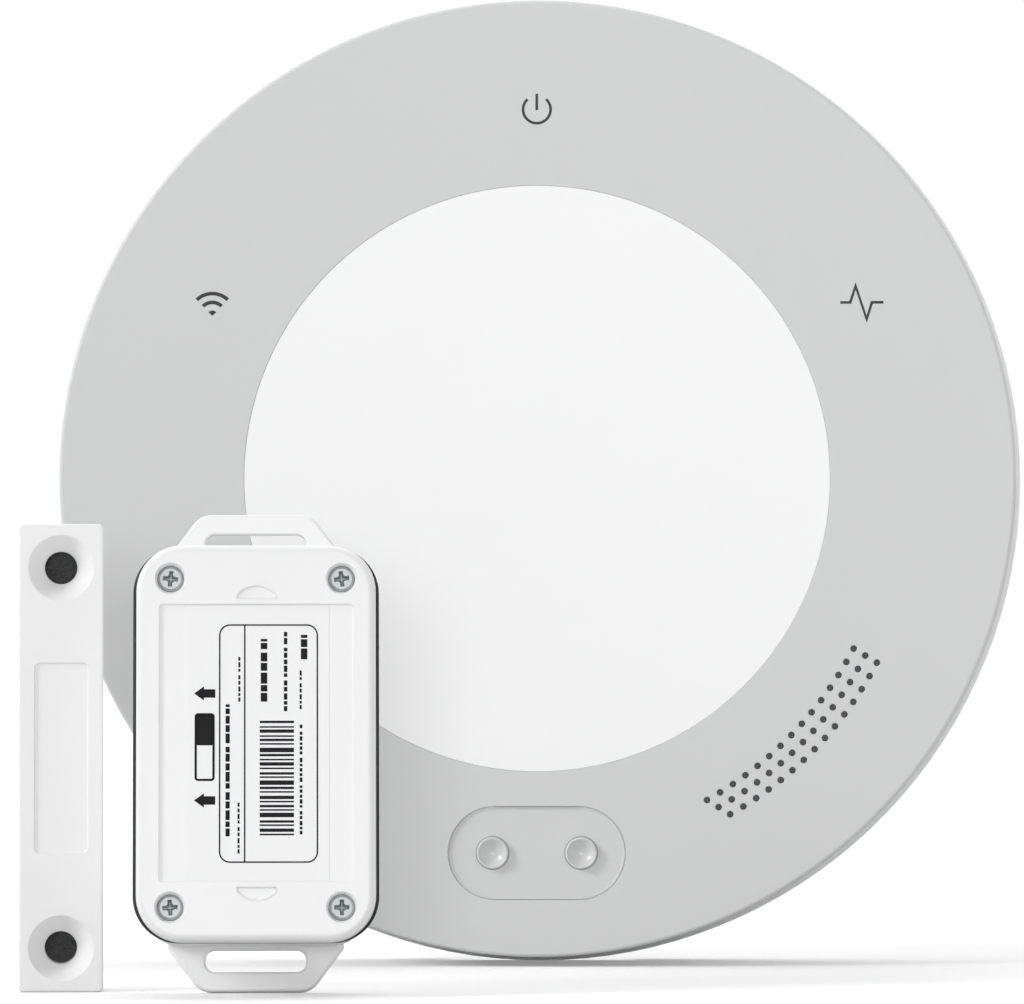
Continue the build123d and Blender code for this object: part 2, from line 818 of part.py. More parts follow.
# Sensor base: a tapered box with a slotted ear at each end
base_height = sensor_depth - lid_thickness - seal_thickness
slot_place = ear_span / 2 - ear_margin - ear_slot_width / 2
ear_root_half = (ear_end_width + ear_slope_share * (ear_span - sensor_height)) / 2
lid_screw_places = [(x, y) for x in (-lid_screw_x, lid_screw_x) for y in (-lid_screw_y, lid_screw_y)]
with BuildPart() as sensor_base:
    with BuildSketch(sensor) as ear_outline:
        with BuildLine():
            Polyline(
                (ear_end_width / 2, ear_span / 2),
                (ear_root_half, sensor_height / 2),
                (ear_root_half, -sensor_height / 2),
                (ear_end_width / 2, -ear_span / 2),
                (-ear_end_width / 2, -ear_span / 2),
                (-ear_root_half, -sensor_height / 2),
                (-ear_root_half, sensor_height / 2),
                (-ear_end_width / 2, ear_span / 2),
                close=True,
            )
        make_face()
        ends = ear_outline.vertices().group_by(Axis.Y)
        fillet(ends[0] + ends[-1], radius=ear_corner)
    extrude(amount=ear_thickness)
    with BuildSketch(sensor.offset(base_height)):
        RectangleRounded(sensor_width, sensor_height, sensor_corner)
    extrude(amount=-base_height, taper=sensor_draft)
    with BuildSketch(sensor.offset(base_height)):
        RectangleRounded(
            sensor_width - 2 * sensor_wall, sensor_height - 2 * sensor_wall, sensor_corner - sensor_wall
        )
    extrude(amount=-(base_height - ear_floor), taper=sensor_draft, mode=Mode.SUBTRACT)
    with BuildSketch(sensor.offset(ear_floor)):
        with Locations(*lid_screw_places):
            Circle(lid_boss_radius)
    extrude(amount=base_height - ear_floor)
    with BuildSketch(sensor.offset(-overrun)):
        with Locations((0, slot_place), (0, -slot_place)):
            RectangleRounded(ear_slot_length, ear_slot_width, ear_slot_corner)
    extrude(amount=ear_thickness + 2 * overrun, mode=Mode.SUBTRACT)
    with BuildSketch(sensor.offset(base_height)):
        with Locations(*lid_screw_places):
            Circle(lid_screw_shank + running_gap)
    extrude(amount=-lid_screw_length, mode=Mode.SUBTRACT)

# Sensor seal: a flat rubber frame that stands a little proud along the case's long sides
with BuildPart() as sensor_seal:
    with BuildSketch(sensor.offset(base_height)):
        RectangleRounded(sensor_width + 2 * seal_proud, sensor_height, sensor_corner)
        RectangleRounded(
            sensor_width - 2 * sensor_wall,
            sensor_height - 2 * sensor_wall,
            sensor_corner - sensor_wall,
            mode=Mode.SUBTRACT,
        )
    extrude(amount=seal_thickness)

# Sensor lid: screw wells, the shallow panel for a label, and two thumb marks
lid_back = base_height + seal_thickness
tongue_width = sensor_width - 2 * (sensor_wall + seat_gap)
tongue_height = sensor_height - 2 * (sensor_wall + seat_gap)
tongue_corner = sensor_corner - sensor_wall - seat_gap
with BuildPart(sensor.offset(sensor_depth)) as sensor_lid:
    with BuildSketch(sensor.offset(lid_back)):
        RectangleRounded(sensor_width, sensor_height, sensor_corner)
    extrude(amount=lid_thickness)
    fillet(
        sensor_lid.faces().sort_by(Axis(sensor.origin, sensor.z_dir))[-1].edges(), radius=lid_round
    )
    with BuildSketch(sensor.offset(lid_back)):
        RectangleRounded(tongue_width, tongue_height, tongue_corner)
        RectangleRounded(
            tongue_width - 2 * lid_tongue_wall,
            tongue_height - 2 * lid_tongue_wall,
            tongue_corner - lid_tongue_wall,
            mode=Mode.SUBTRACT,
        )
        with Locations(*lid_screw_places):
            Circle(lid_boss_radius + 2 * seat_gap, mode=Mode.SUBTRACT)
    extrude(amount=-lid_tongue)
    with BuildSketch(sensor.offset(sensor_depth - label_depth)):
        RectangleRounded(label_width, label_height, label_corner)
    extrude(amount=label_depth + overrun, mode=Mode.SUBTRACT)
    with BuildSketch(sensor.offset(sensor_depth - mark_depth)):
        with BuildLine():
            Line((-mark_width / 2, mark_place), (mark_width / 2, mark_place))
            ThreePointArc(
                (mark_width / 2, mark_place), (0, mark_place + mark_height), (-mark_width / 2, mark_place)
            )
        make_face()
        mirror(about=Plane.XZ)
    extrude(amount=mark_depth + overrun, mode=Mode.SUBTRACT)
    with Locations(*lid_screw_places):
        CounterBoreHole(lid_hole_radius, lid_bore_radius, lid_bore_depth)

sensor_screws = make_screws(
    sensor.offset(sensor_depth - lid_bore_depth),
    lid_screw_places,
    lid_head_radius,
    lid_head_height,
    lid_screw_shank,
    lid_screw_length,
)

# Sensor inside: board on the floor's ribs, coin cell in its clips, reed switch and aerial
inner_width = sensor_width - 2 * sensor_wall
inner_height = sensor_height - 2 * sensor_wall
cell_board_back = ear_floor + cell_board_lift
cell_board_front = cell_board_back + cell_board_thickness
cell_board_inset = cell_board_gap + base_height * tan(radians(sensor_draft))
with BuildPart() as sensor_board:
    with BuildSketch(sensor.offset(cell_board_back)):
        RectangleRounded(
            inner_width - 2 * cell_board_inset,
            inner_height - 2 * cell_board_inset,
            sensor_corner - sensor_wall - cell_board_inset,
        )
        with Locations(*lid_screw_places):
            Circle(lid_boss_radius + cell_board_gap, mode=Mode.SUBTRACT)
    extrude(amount=cell_board_thickness)

cell_back = cell_board_front + cell_lift
with BuildPart() as sensor_battery:
    with BuildSketch(sensor.offset(cell_back)):
        with Locations((0, cell_place)):
            Circle(cell_radius - cell_step)
    extrude(amount=cell_step_height)
    with BuildSketch(sensor.offset(cell_back + cell_step_height)):
        with Locations((0, cell_place)):
            Circle(cell_radius)
    extrude(amount=cell_thickness - cell_step_height)

cell_top = cell_back + cell_thickness
with BuildPart() as battery_clips:
    with BuildSketch(sensor.offset(cell_board_front)):
        with Locations((0, cell_place)):
            Rectangle(clip_width, 2 * (cell_radius + seat_gap + clip_thickness))
    extrude(amount=cell_lift)
    with BuildSketch(sensor.offset(cell_board_front)):
        with Locations((0, cell_place)):
            with GridLocations(0, 2 * (cell_radius + clip_thickness / 2 + seat_gap), 1, 2):
                Rectangle(clip_width, clip_thickness)
    extrude(amount=cell_top + clip_thickness - cell_board_front)

with BuildPart() as sensor_chip:
    with BuildSketch(sensor.offset(cell_board_front)):
        with Locations(chip_place):
            Rectangle(chip_size, chip_size)
    extrude(amount=chip_height)

reed_plane = Plane(
    origin=sensor.offset(cell_board_front + reed_radius).from_local_coords((*reed_place, 0)),
    x_dir=sensor.x_dir,
    z_dir=sensor.y_dir,
)
with BuildPart() as reed_switch:
    with BuildSketch(reed_plane.offset(-reed_length / 2)):
        Circle(reed_radius)
    extrude(amount=reed_length)
    with BuildSketch(reed_plane.offset(-reed_length / 2 - reed_lead_length)):
        Circle(reed_lead_radius)
    extrude(amount=reed_length + 2 * reed_lead_length)

loop_frame = sensor.offset(cell_board_front)
with BuildPart() as sensor_aerial:
    with BuildLine() as loop_path:
        FilletPolyline(
            loop_frame.from_local_coords((loop_place, -loop_length / 2, 0)),
            loop_frame.from_local_coords((loop_place, -loop_length / 2, loop_height)),
            loop_frame.from_local_coords((loop_place, loop_length / 2, loop_height)),
            loop_frame.from_local_coords((loop_place, loop_length / 2, 0)),
            radius=loop_bend,
        )
    with BuildSketch(Plane(loop_path.line @ 0, z_dir=loop_path.line % 0)):
        Circle(loop_radius)
    sweep()

# Magnet bar: countersunk case, the magnet in a pocket in its back, and the foam pad behind
with BuildPart(magnet) as magnet_case:
    with BuildSketch(magnet):
        RectangleRounded(magnet_width, magnet_height, magnet_corner)
    extrude(amount=-magnet_depth)
    fillet(
        magnet_case.faces().sort_by(Axis(magnet.origin, magnet.z_dir))[-1].edges(),
        radius=magnet_round,
    )
    with BuildSketch(magnet.offset(-magnet_panel_depth)):
        RectangleRounded(magnet_panel_width, magnet_panel_height, magnet_panel_corner)
    extrude(amount=magnet_panel_depth + overrun, mode=Mode.SUBTRACT)
    with BuildSketch(magnet.offset(-magnet_depth)):
        Rectangle(block_width + 2 * seat_gap, block_height + 2 * seat_gap)
    extrude(amount=block_depth + seat_gap, mode=Mode.SUBTRACT)
    with GridLocations(0, magnet_hole_spacing, 1, 2):
        CounterSinkHole(
            magnet_throat_radius, magnet_funnel_radius, counter_sink_angle=magnet_funnel_angle
        )

with BuildPart() as bar_magnet:
    with BuildSketch(magnet.offset(-magnet_depth)):
        Rectangle(block_width, block_height)
    extrude(amount=block_depth)

with BuildPart() as magnet_pad:
    with BuildSketch(magnet.offset(-magnet_depth)):
        RectangleRounded(
            magnet_width - 2 * pad_inset, magnet_height - 2 * pad_inset, magnet_round
        )
    extrude(amount=-pad_thickness)

pieces = {
    "front_ring": front_ring,
    "centre_cover": centre_cover,
    "rear_housing": rear_housing,
    "housing_screws": housing_screws,
    "main_board": main_board,
    "board_screws": board_screws,
    "left_button": left_button,
    "right_button": right_button,
    "left_plunger": left_plunger,
    "right_plunger": right_plunger,
    "left_switch": left_switch,
    "right_switch": right_switch,
    "status_leds": status_leds,
    "light_guides": light_guides,
    "speaker_gasket": speaker_gasket,
    "speaker_frame": speaker_frame,
    "speaker_cone": speaker_cone,
    "speaker_magnet": speaker_magnet,
    "door_relays": door_relays,
    "wireless_module": wireless_module,
    "module_shield": module_shield,
    "radio_aerial": radio_aerial,
    "terminal_header": terminal_header,
    "terminal_pins": terminal_pins,
    "terminal_plug": terminal_plug,
    "terminal_screws": terminal_screws,
    "power_inlet": power_inlet,
    "inlet_pin": inlet_pin,
    "sensor_base": sensor_base,
    "sensor_seal": sensor_seal,
    "sensor_lid": sensor_lid,
    "sensor_screws": sensor_screws,
    "sensor_board": sensor_board,
    "sensor_battery": sensor_battery,
    "battery_clips": battery_clips,
    "sensor_chip": sensor_chip,
    "reed_switch": reed_switch,
    "sensor_aerial": sensor_aerial,
    "magnet_case": magnet_case,
    "bar_magnet": bar_magnet,
    "magnet_pad": magnet_pad,
}
for name, piece in pieces.items():
    piece.part.label = name
    export_step(piece.part, f"parts/{name}.step")
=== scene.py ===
from math import atan, cos, degrees, pi, radians, sin, sqrt, tan

import bmesh
import bpy
from bpy.props import FloatProperty, FloatVectorProperty, IntProperty, PointerProperty
from mathutils import Matrix, Vector


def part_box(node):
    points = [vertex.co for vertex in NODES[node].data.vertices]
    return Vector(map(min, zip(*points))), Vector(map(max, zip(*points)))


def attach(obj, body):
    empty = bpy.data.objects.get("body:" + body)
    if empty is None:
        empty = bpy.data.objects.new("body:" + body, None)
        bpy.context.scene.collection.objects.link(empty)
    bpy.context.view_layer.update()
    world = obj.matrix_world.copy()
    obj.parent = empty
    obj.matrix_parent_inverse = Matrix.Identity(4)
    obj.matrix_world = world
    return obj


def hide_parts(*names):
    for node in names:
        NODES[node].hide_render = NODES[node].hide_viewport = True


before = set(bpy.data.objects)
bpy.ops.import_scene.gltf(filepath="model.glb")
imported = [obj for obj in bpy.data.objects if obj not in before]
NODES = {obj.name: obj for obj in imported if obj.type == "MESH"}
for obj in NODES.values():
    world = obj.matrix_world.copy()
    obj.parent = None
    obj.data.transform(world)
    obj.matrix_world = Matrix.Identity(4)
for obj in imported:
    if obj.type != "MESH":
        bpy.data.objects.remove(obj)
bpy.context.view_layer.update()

bl_info = {
    "name": "Garage door controller",
    "version": (1, 0, 0),
    "blender": (4, 5, 0),
    "location": "3D View > Sidebar > Garage door",
    "description": "Dresses a round garage door controller with its door sensor and magnet bar",
    "category": "Add Mesh",
}

MM = 0.001


# Places of the three units

def unit_axes(origin, lean=0.0, turn=0.0):
    """A matrix to the scene from a unit's own axes in mm: across, up and out of its front."""
    across = Vector((cos(turn), sin(turn), 0))
    up = Vector((-sin(turn) * sin(lean), cos(turn) * sin(lean), cos(lean)))
    out = Vector((sin(turn) * cos(lean), -cos(turn) * cos(lean), sin(lean)))
    axes = Matrix((across, up, out)).transposed().to_4x4()
    return Matrix.Translation(Vector(origin) * MM) @ axes @ Matrix.Scale(MM, 4)


GROUND = (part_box("rear_housing")[0] / MM).z
SENSOR_LEAN, SENSOR_TURN = radians(6), radians(3.7)
MAGNET_TURN = radians(5.2)
EAR_SPAN = 70.9                 # over both ears of the sensor
BAR_HEIGHT = 69.3
RING_WALL = 2.2
SPEAKER_TURN = radians(45.95)   # the speaker lies along the rows of sound holes
LID_THICKNESS = 3.4
SCREW_SEAT = 1.5                # from the lid's face down to the screws' seats
PANEL_DEPTH = 0.35
HUB = unit_axes((0, 0, 0))
SENSOR = unit_axes(
    (-39.7, -107.0, GROUND + EAR_SPAN / 2 * cos(SENSOR_LEAN)), SENSOR_LEAN, SENSOR_TURN
)
MAGNET = unit_axes((-68.4, -110.2, GROUND + BAR_HEIGHT / 2), turn=MAGNET_TURN)


# Outlines: each is a function of how far it grows, so that its loops always match

def circle(radius, count=48, centre=(0, 0)):
    """A round outline."""
    def at(grow):
        turns = [2 * pi * i / count for i in range(count)]
        return [
            (centre[0] + (radius + grow) * cos(a), centre[1] + (radius + grow) * sin(a))
            for a in turns
        ]
    return at


def rounded_box(width, height, corner, count=10, centre=(0, 0)):
    """A rectangle with round corners; the corners shrink as it shrinks."""
    def at(grow):
        radius = max(corner + grow, 0.02)
        across = width / 2 + grow - radius
        up = height / 2 + grow - radius
        points = []
        for quarter, (sx, sy) in enumerate(((1, 1), (-1, 1), (-1, -1), (1, -1))):
            for i in range(count + 1):
                a = pi / 2 * (quarter + i / count)
                points.append(
                    (
                        centre[0] + sx * across + radius * cos(a),
                        centre[1] + sy * up + radius * sin(a),
                    )
                )
        return points
    return at


def long_hole(length, width, count=16, centre=(0, 0)):
    """A slot with round ends that lies across."""
    return rounded_box(length, width, width / 2 - 0.001, count, centre)


def moved(outline, centre, turn):
    """An outline turned about its own middle and then moved."""
    def at(grow):
        return [
            (
                centre[0] + x * cos(turn) - y * sin(turn),
                centre[1] + x * sin(turn) + y * cos(turn),
            )
            for x, y in outline(grow)
        ]
    return at


def half_moon(width, rise, blunt, flip, centre, count=24):
    """A flat edge, short blunt ends and an arc over them, or under them when flipped."""
    lift = rise - blunt
    radius = (width**2 / 4 + lift**2) / (2 * lift)
    side = -1 if flip else 1

    def at(grow):
        reach = width / 2 + grow
        points = [(reach, -grow)]
        for i in range(count + 1):
            x = reach * cos(pi * i / count)
            points.append((x, rise - radius + sqrt((radius + grow) ** 2 - x**2)))
        points.append((-reach, -grow))
        return [(centre[0] + side * x, centre[1] + side * y) for x, y in points]
    return at


def ear_outline(end_width, root_width, root, span, corner, count=6):
    """The base plate with its two tapering ears, with round corners at the ears' ends."""
    def at(grow):
        side = Vector((end_width / 2 - root_width / 2, span / 2 - root)).normalized()
        normal = Vector((side.y, -side.x))
        end = Vector((end_width / 2, span / 2))
        turn = atan(normal.y / normal.x)
        bend = tan((pi / 2 - turn) / 2)
        centre = Vector((end.x - corner * bend, end.y - corner))
        radius = corner + grow
        points = [
            (
                centre.x + radius * cos(turn + (pi / 2 - turn) * i / count),
                centre.y + radius * sin(turn + (pi / 2 - turn) * i / count),
            )
            for i in range(count + 1)
        ]
        root_x = root_width / 2 + grow / cos(turn)
        right_top = [(root_x, root)] + points
        left_top = [(-x, y) for x, y in reversed(right_top)]
        left_low = [(-x, -y) for x, y in right_top]
        right_low = [(x, -y) for x, y in reversed(right_top)]
        return right_top + left_top + left_low + right_low
    return at


def arc(across, up, radius, first, last, count=6):
    """Pairs on an arc about a centre, angles in degrees: points, or a wall's (grow, height)."""
    return [
        (
            across + radius * cos(radians(first + (last - first) * i / count)),
            up + radius * sin(radians(first + (last - first) * i / count)),
        )
        for i in range(count + 1)
    ]


def polar(radius, angle):
    """A place on the round unit's face."""
    return radius * cos(radians(angle)), radius * sin(radians(angle))


class Shell:
    """A mesh drawn loop by loop in a unit's own axes."""

    def __init__(self):
        self.mesh = bmesh.new()
        self.flat = []

    def loop(self, points, height):
        """A closed loop of points at one height."""
        return [self.mesh.verts.new((x, y, height)) for x, y in points]

    def join(self, first, second):
        """A band of faces between two loops of equal length."""
        count = len(first)
        for i in range(count):
            j = (i + 1) % count
            self.mesh.faces.new((first[i], first[j], second[j], second[i]))

    def wall(self, outline, steps, start=None):
        """Bands through a list of (grow, height) steps. Returns the first and last loop."""
        loops = [] if start is None else [start]
        loops += [self.loop(outline(grow), height) for grow, height in steps]
        for first, second in zip(loops, loops[1:]):
            self.join(first, second)
        return loops[0], loops[-1]

    def opening(self, outline, steps, outer, inner=None):
        """A wall down from one face to another. With no inner face it gets a floor."""
        first, last = self.wall(outline, steps)
        outer.append(first)
        if inner is None:
            self.face(last)
        else:
            inner.append(last)

    def face(self, *loops):
        """A flat face with an outer loop and any number of loops cut out of it."""
        edges = []
        for loop in loops:
            for i, vert in enumerate(loop):
                following = loop[(i + 1) % len(loop)]
                edge = self.mesh.edges.get((vert, following))
                edges.append(edge or self.mesh.edges.new((vert, following)))
        filled = bmesh.ops.triangle_fill(self.mesh, use_beauty=True, edges=edges)
        self.flat += [part for part in filled["geom"] if isinstance(part, bmesh.types.BMFace)]

    def cap(self, loop):
        """One flat face over a loop."""
        self.mesh.faces.new(loop)

    def point_cap(self, loop, height):
        """A fan from a loop to the point in its middle."""
        middle = sum((v.co for v in loop), Vector()) / len(loop)
        tip = self.mesh.verts.new((middle.x, middle.y, height))
        for i, vert in enumerate(loop):
            self.mesh.faces.new((vert, loop[(i + 1) % len(loop)], tip))

    def block(self, outline, low, high, edge):
        """A closed plate between two heights, with its upper edge rounded."""
        first, last = self.wall(outline, [(0, low)] + arc(-edge, high - edge, edge, 0, 90, 4))
        self.face(first)
        self.face(last)

    def tile(self, points, low, high):
        """A closed plate between two heights, with sharp edges."""
        ends = [self.loop(points, height) for height in (low, high)]
        self.join(*ends)
        for end in ends:
            self.cap(end)

    def place(self, name, axes):
        """The finished object, in the scene's metres."""
        bmesh.ops.recalc_face_normals(self.mesh, faces=self.mesh.faces)
        for face in self.mesh.faces:
            face.smooth = True
        for face in self.flat:
            face.smooth = False
        self.mesh.transform(axes)
        data = bpy.data.meshes.new(name)
        self.mesh.to_mesh(data)
        self.mesh.free()
        made = bpy.data.objects.new(name, data)
        bpy.context.scene.collection.objects.link(made)
        smoothed = made.modifiers.new("even shading", "WEIGHTED_NORMAL")
        smoothed.keep_sharp = True
        smoothed.weight = 100
        return made


def dress(piece, finish, body, slot, *nodes):
    """Gives a piece its finish and body, and says which nodes it stands for."""
    piece.data.materials.clear()
    piece.data.materials.append(finish)
    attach(piece, body)
    if nodes:
        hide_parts(*nodes)
    return piece


# Finishes

class Reading:
    """A value at every point of a surface. Arithmetic on it adds Math nodes."""

    def __init__(self, finish, socket):
        self.finish = finish
        self.socket = socket

    def combined(self, operation, first, second):
        return self.finish.node(
            "ShaderNodeMath", {"operation": operation}, {0: first, 1: second}
        )

    def __add__(self, other):
        return self.combined("ADD", self, other)

    __radd__ = __add__

    def __sub__(self, other):
        return self.combined("SUBTRACT", self, other)

    def __rsub__(self, other):
        return self.combined("SUBTRACT", other, self)

    def __mul__(self, other):
        return self.combined("MULTIPLY", self, other)

    __rmul__ = __mul__


class Finish:
    """A material that is built from nodes."""

    def __init__(self, name):
        self.material = bpy.data.materials.new(name)
        self.material.use_nodes = True
        self.tree = self.material.node_tree
        self.tree.nodes.clear()
        self.output = self.tree.nodes.new("ShaderNodeOutputMaterial")

    def node(self, kind, settings=None, sockets=None, output=0):
        """Any node: its settings first, then the values or links of its sockets."""
        made = self.tree.nodes.new(kind)
        for name, value in (settings or {}).items():
            setattr(made, name, value)
        for name, value in (sockets or {}).items():
            if isinstance(value, Reading):
                self.tree.links.new(value.socket, made.inputs[name])
            else:
                made.inputs[name].default_value = value
        return Reading(self, made.outputs[output])

    def place(self):
        """Position on the object in millimetres."""
        at = self.node("ShaderNodeTexCoord", output="Object")
        return self.node(
            "ShaderNodeVectorMath", {"operation": "SCALE"}, {0: at, "Scale": 1 / MM}
        )

    def stretched(self, x, y, z):
        """Position in millimetres with each axis scaled by itself."""
        return self.node(
            "ShaderNodeVectorMath", {"operation": "MULTIPLY"}, {0: self.place(), 1: (x, y, z)}
        )

    def grain(self, size, detail=2.0, rough=0.5, at=None):
        """Soft noise from 0 to 1 with features of about a size in millimetres."""
        return self.node(
            "ShaderNodeTexNoise",
            {},
            {
                "Vector": at or self.place(),
                "Scale": 1 / size,
                "Detail": detail,
                "Roughness": rough,
            },
        )

    def cells(self, size):
        """Distance to scattered points about a size apart in millimetres."""
        return self.node(
            "ShaderNodeTexVoronoi", {}, {"Vector": self.place(), "Scale": 1 / size}
        )

    def blend(self, mask, first, second):
        """A colour between two others."""
        return self.node(
            "ShaderNodeMix",
            {"data_type": "RGBA"},
            {0: mask, 6: first, 7: second},
            output=2,
        )

    def tinted(self, mask, colour, low, high):
        """One colour, from one share of its lightness to another."""
        return self.blend(mask, shade_of(colour, low), shade_of(colour, high))

    def relief(self, height, depth):
        """A bump of a depth in millimetres."""
        return self.node(
            "ShaderNodeBump", {}, {"Height": height, "Strength": 1.0, "Distance": depth * MM}
        )

    def shade(self, **sockets):
        """The surface itself. Returns the material."""
        named = {name.replace("_", " "): value for name, value in sockets.items()}
        surface = self.node("ShaderNodeBsdfPrincipled", {}, named, output="BSDF")
        self.tree.links.new(surface.socket, self.output.inputs["Surface"])
        return self.material


def shade_of(colour, factor):
    """A colour made lighter or darker, with its alpha."""
    return tuple(min(1.0, channel * factor) for channel in colour[:3]) + (1.0,)


def moulded_plastic(name, colour, rough, texture=0.28, depth=0.004, mottle=0.02):
    """Injection moulded plastic: fine eroded texture, faint clouds, and uneven gloss."""
    made = Finish(name)
    fine = made.grain(texture, 3.0, 0.6)
    broad = made.grain(9.0, 3.0)
    tone = broad * 0.6 + fine * 0.4
    return made.shade(
        Base_Color=made.tinted(tone, colour, 1 - mottle, 1 + mottle),
        Roughness=rough + (fine - 0.5) * 0.16 + (broad - 0.5) * 0.06,
        Normal=made.relief(fine, depth),
        Specular_IOR_Level=0.45,
    )


def polished_plastic(name, colour, rough):
    """Smooth moulded plastic with faint flow marks and a little dust in its gloss."""
    made = Finish(name)
    flow = made.grain(14.0, 2.0, 0.4, made.stretched(1.0, 1.0, 0.35))
    dust = made.grain(0.35, 4.0, 0.7)
    return made.shade(
        Base_Color=made.tinted(flow, colour, 0.985, 1.012),
        Roughness=rough + (dust - 0.5) * 0.14,
        Normal=made.relief(flow * 0.7 + dust * 0.3, 0.006),
        Specular_IOR_Level=0.5,
    )


def plated_steel(name, colour, rough):
    """Zinc plated steel: blotched plating, small pits and tool marks."""
    made = Finish(name)
    blotch = made.grain(0.7, 4.0, 0.65)
    pits = made.cells(0.16)
    marks = made.grain(0.5, 2.0, 0.5, made.stretched(4.0, 1.0, 0.4))
    return made.shade(
        Base_Color=made.tinted(blotch, colour, 0.62, 1.25),
        Metallic=1.0,
        Roughness=rough + (blotch - 0.5) * 0.3,
        Normal=made.relief(pits * 0.4 + marks * 0.6, 0.012),
    )


def brushed_metal(name, colour, rough, along):
    """Metal with fine lines along one axis."""
    made = Finish(name)
    lines = made.grain(0.12, 3.0, 0.6, made.stretched(*along))
    stain = made.grain(3.0, 3.0)
    return made.shade(
        Base_Color=made.tinted(stain, colour, 0.85, 1.1),
        Metallic=1.0,
        Roughness=rough + (lines - 0.5) * 0.2,
        Normal=made.relief(lines, 0.003),
    )


def rubber(name, colour):
    """Soft seal rubber: dull, with a faint bloom."""
    made = Finish(name)
    bloom = made.grain(1.6, 4.0, 0.6)
    fine = made.grain(0.14, 2.0)
    return made.shade(
        Base_Color=made.tinted(bloom, colour, 0.7, 1.7),
        Roughness=0.72 + (bloom - 0.5) * 0.2,
        Normal=made.relief(fine, 0.008),
    )


def foam(name, colour):
    """Closed cell foam: small round cells with thin walls."""
    made = Finish(name)
    cell = made.cells(0.34)
    cloud = made.grain(2.5, 3.0)
    return made.shade(
        Base_Color=made.tinted(cell * 0.8 + cloud * 0.3, colour, 1.8, 0.55),
        Roughness=0.95 - cell * 0.15,
        Normal=made.relief(cell, 0.05),
    )


def printed_ink(name, colour):
    """Screen printed ink: flat, with a dry speckle."""
    made = Finish(name)
    speckle = made.grain(0.12, 3.0, 0.7)
    return made.shade(
        Base_Color=made.tinted(speckle, colour, 0.8, 1.25),
        Roughness=0.7 + (speckle - 0.5) * 0.2,
        Normal=made.relief(speckle, 0.002),
        Specular_IOR_Level=0.15,
    )


def label_film(name, colour):
    """A thin printed film: a little glossy, with slow waves from being pressed on."""
    made = Finish(name)
    wave = made.grain(11.0, 2.0, 0.4)
    fibre = made.grain(0.22, 3.0, 0.6)
    return made.shade(
        Base_Color=made.tinted(fibre, colour, 0.985, 1.01),
        Roughness=0.36 + (fibre - 0.5) * 0.12,
        Normal=made.relief(wave * 0.9 + fibre * 0.1, 0.012),
    )


def circuit_board(name, colour, track, pitch):
    """Solder mask over copper: tracks show as slightly raised, lighter lines."""
    made = Finish(name)
    across = made.node(
        "ShaderNodeTexBrick",
        {"offset": 0.5, "squash": 0.6, "squash_frequency": 3},
        {
            "Vector": made.node(
                "ShaderNodeVectorRotate",
                {"rotation_type": "X_AXIS"},
                {"Vector": made.place(), "Angle": pi / 2},
            ),
            "Color1": (0, 0, 0, 1),
            "Color2": (0.25, 0.25, 0.25, 1),
            "Mortar": (1, 1, 1, 1),
            "Scale": 1.0,
            "Mortar Size": pitch * 0.12,
            "Brick Width": pitch * 2.7,
            "Row Height": pitch,
        },
    )
    lines = made.node("ShaderNodeSeparateColor", {}, {"Color": across})
    weave = made.grain(0.5, 2.0)
    return made.shade(
        Base_Color=made.blend(
            lines * 0.8 + weave * 0.15, shade_of(colour, 1.0), shade_of(track, 1.0)
        ),
        Roughness=0.3 + weave * 0.15,
        Normal=made.relief(lines * 0.8 + weave * 0.2, 0.03),
        Coat_Weight=0.25,
    )


def woven_cloth(name, colour, pitch):
    """Plain woven cloth: threads that pass over and under each other."""
    made = Finish(name)
    turn = pi / (10 * pitch)
    warp, weft = (
        made.node(
            "ShaderNodeTexWave", {"bands_direction": axis},
            {"Vector": made.place(), "Scale": turn, "Distortion": 0.4},
        )
        for axis in "XZ"
    )
    threads = warp * weft
    return made.shade(
        Base_Color=made.tinted(threads, colour, 0.7, 1.25),
        Roughness=0.95 - threads * 0.1,
        Normal=made.relief(threads, 0.06),
    )


def speaker_paper(name, colour):
    """Pressed speaker cone: fibres over shallow rings."""
    made = Finish(name)
    fibre = made.grain(0.5, 4.0, 0.7, made.stretched(1.0, 1.0, 2.2))
    rings = made.node(
        "ShaderNodeTexWave",
        {"wave_type": "RINGS", "rings_direction": "Y"},
        {"Vector": made.place(), "Scale": 0.5, "Distortion": 0.0},
    )
    return made.shade(
        Base_Color=made.tinted(fibre, colour, 0.6, 1.5),
        Roughness=0.8 - fibre * 0.1,
        Normal=made.relief(rings * 0.6 + fibre * 0.4, 0.04),
    )


def clear_plastic(name, colour, alpha):
    """Clear moulding with faint flow lines."""
    made = Finish(name)
    flow = made.grain(2.0, 2.0, 0.5, made.stretched(1.0, 0.3, 1.0))
    return made.shade(
        Base_Color=made.tinted(flow, colour, 0.92, 1.05),
        Roughness=0.08 + flow * 0.12,
        Alpha=alpha + (flow - 0.5) * 0.1,
        Normal=made.relief(flow, 0.01),
        Coat_Weight=0.4,
    )


# Sizes and colours that a user may change

def size(name, description, default):
    """A length in metres, given in millimetres."""
    return FloatProperty(
        name=name, description=description, default=default * MM, unit="LENGTH", precision=5
    )


def colour(name, description, default):
    """A colour without alpha."""
    return FloatVectorProperty(
        name=name, description=description, default=default, subtype="COLOR", min=0, max=1
    )


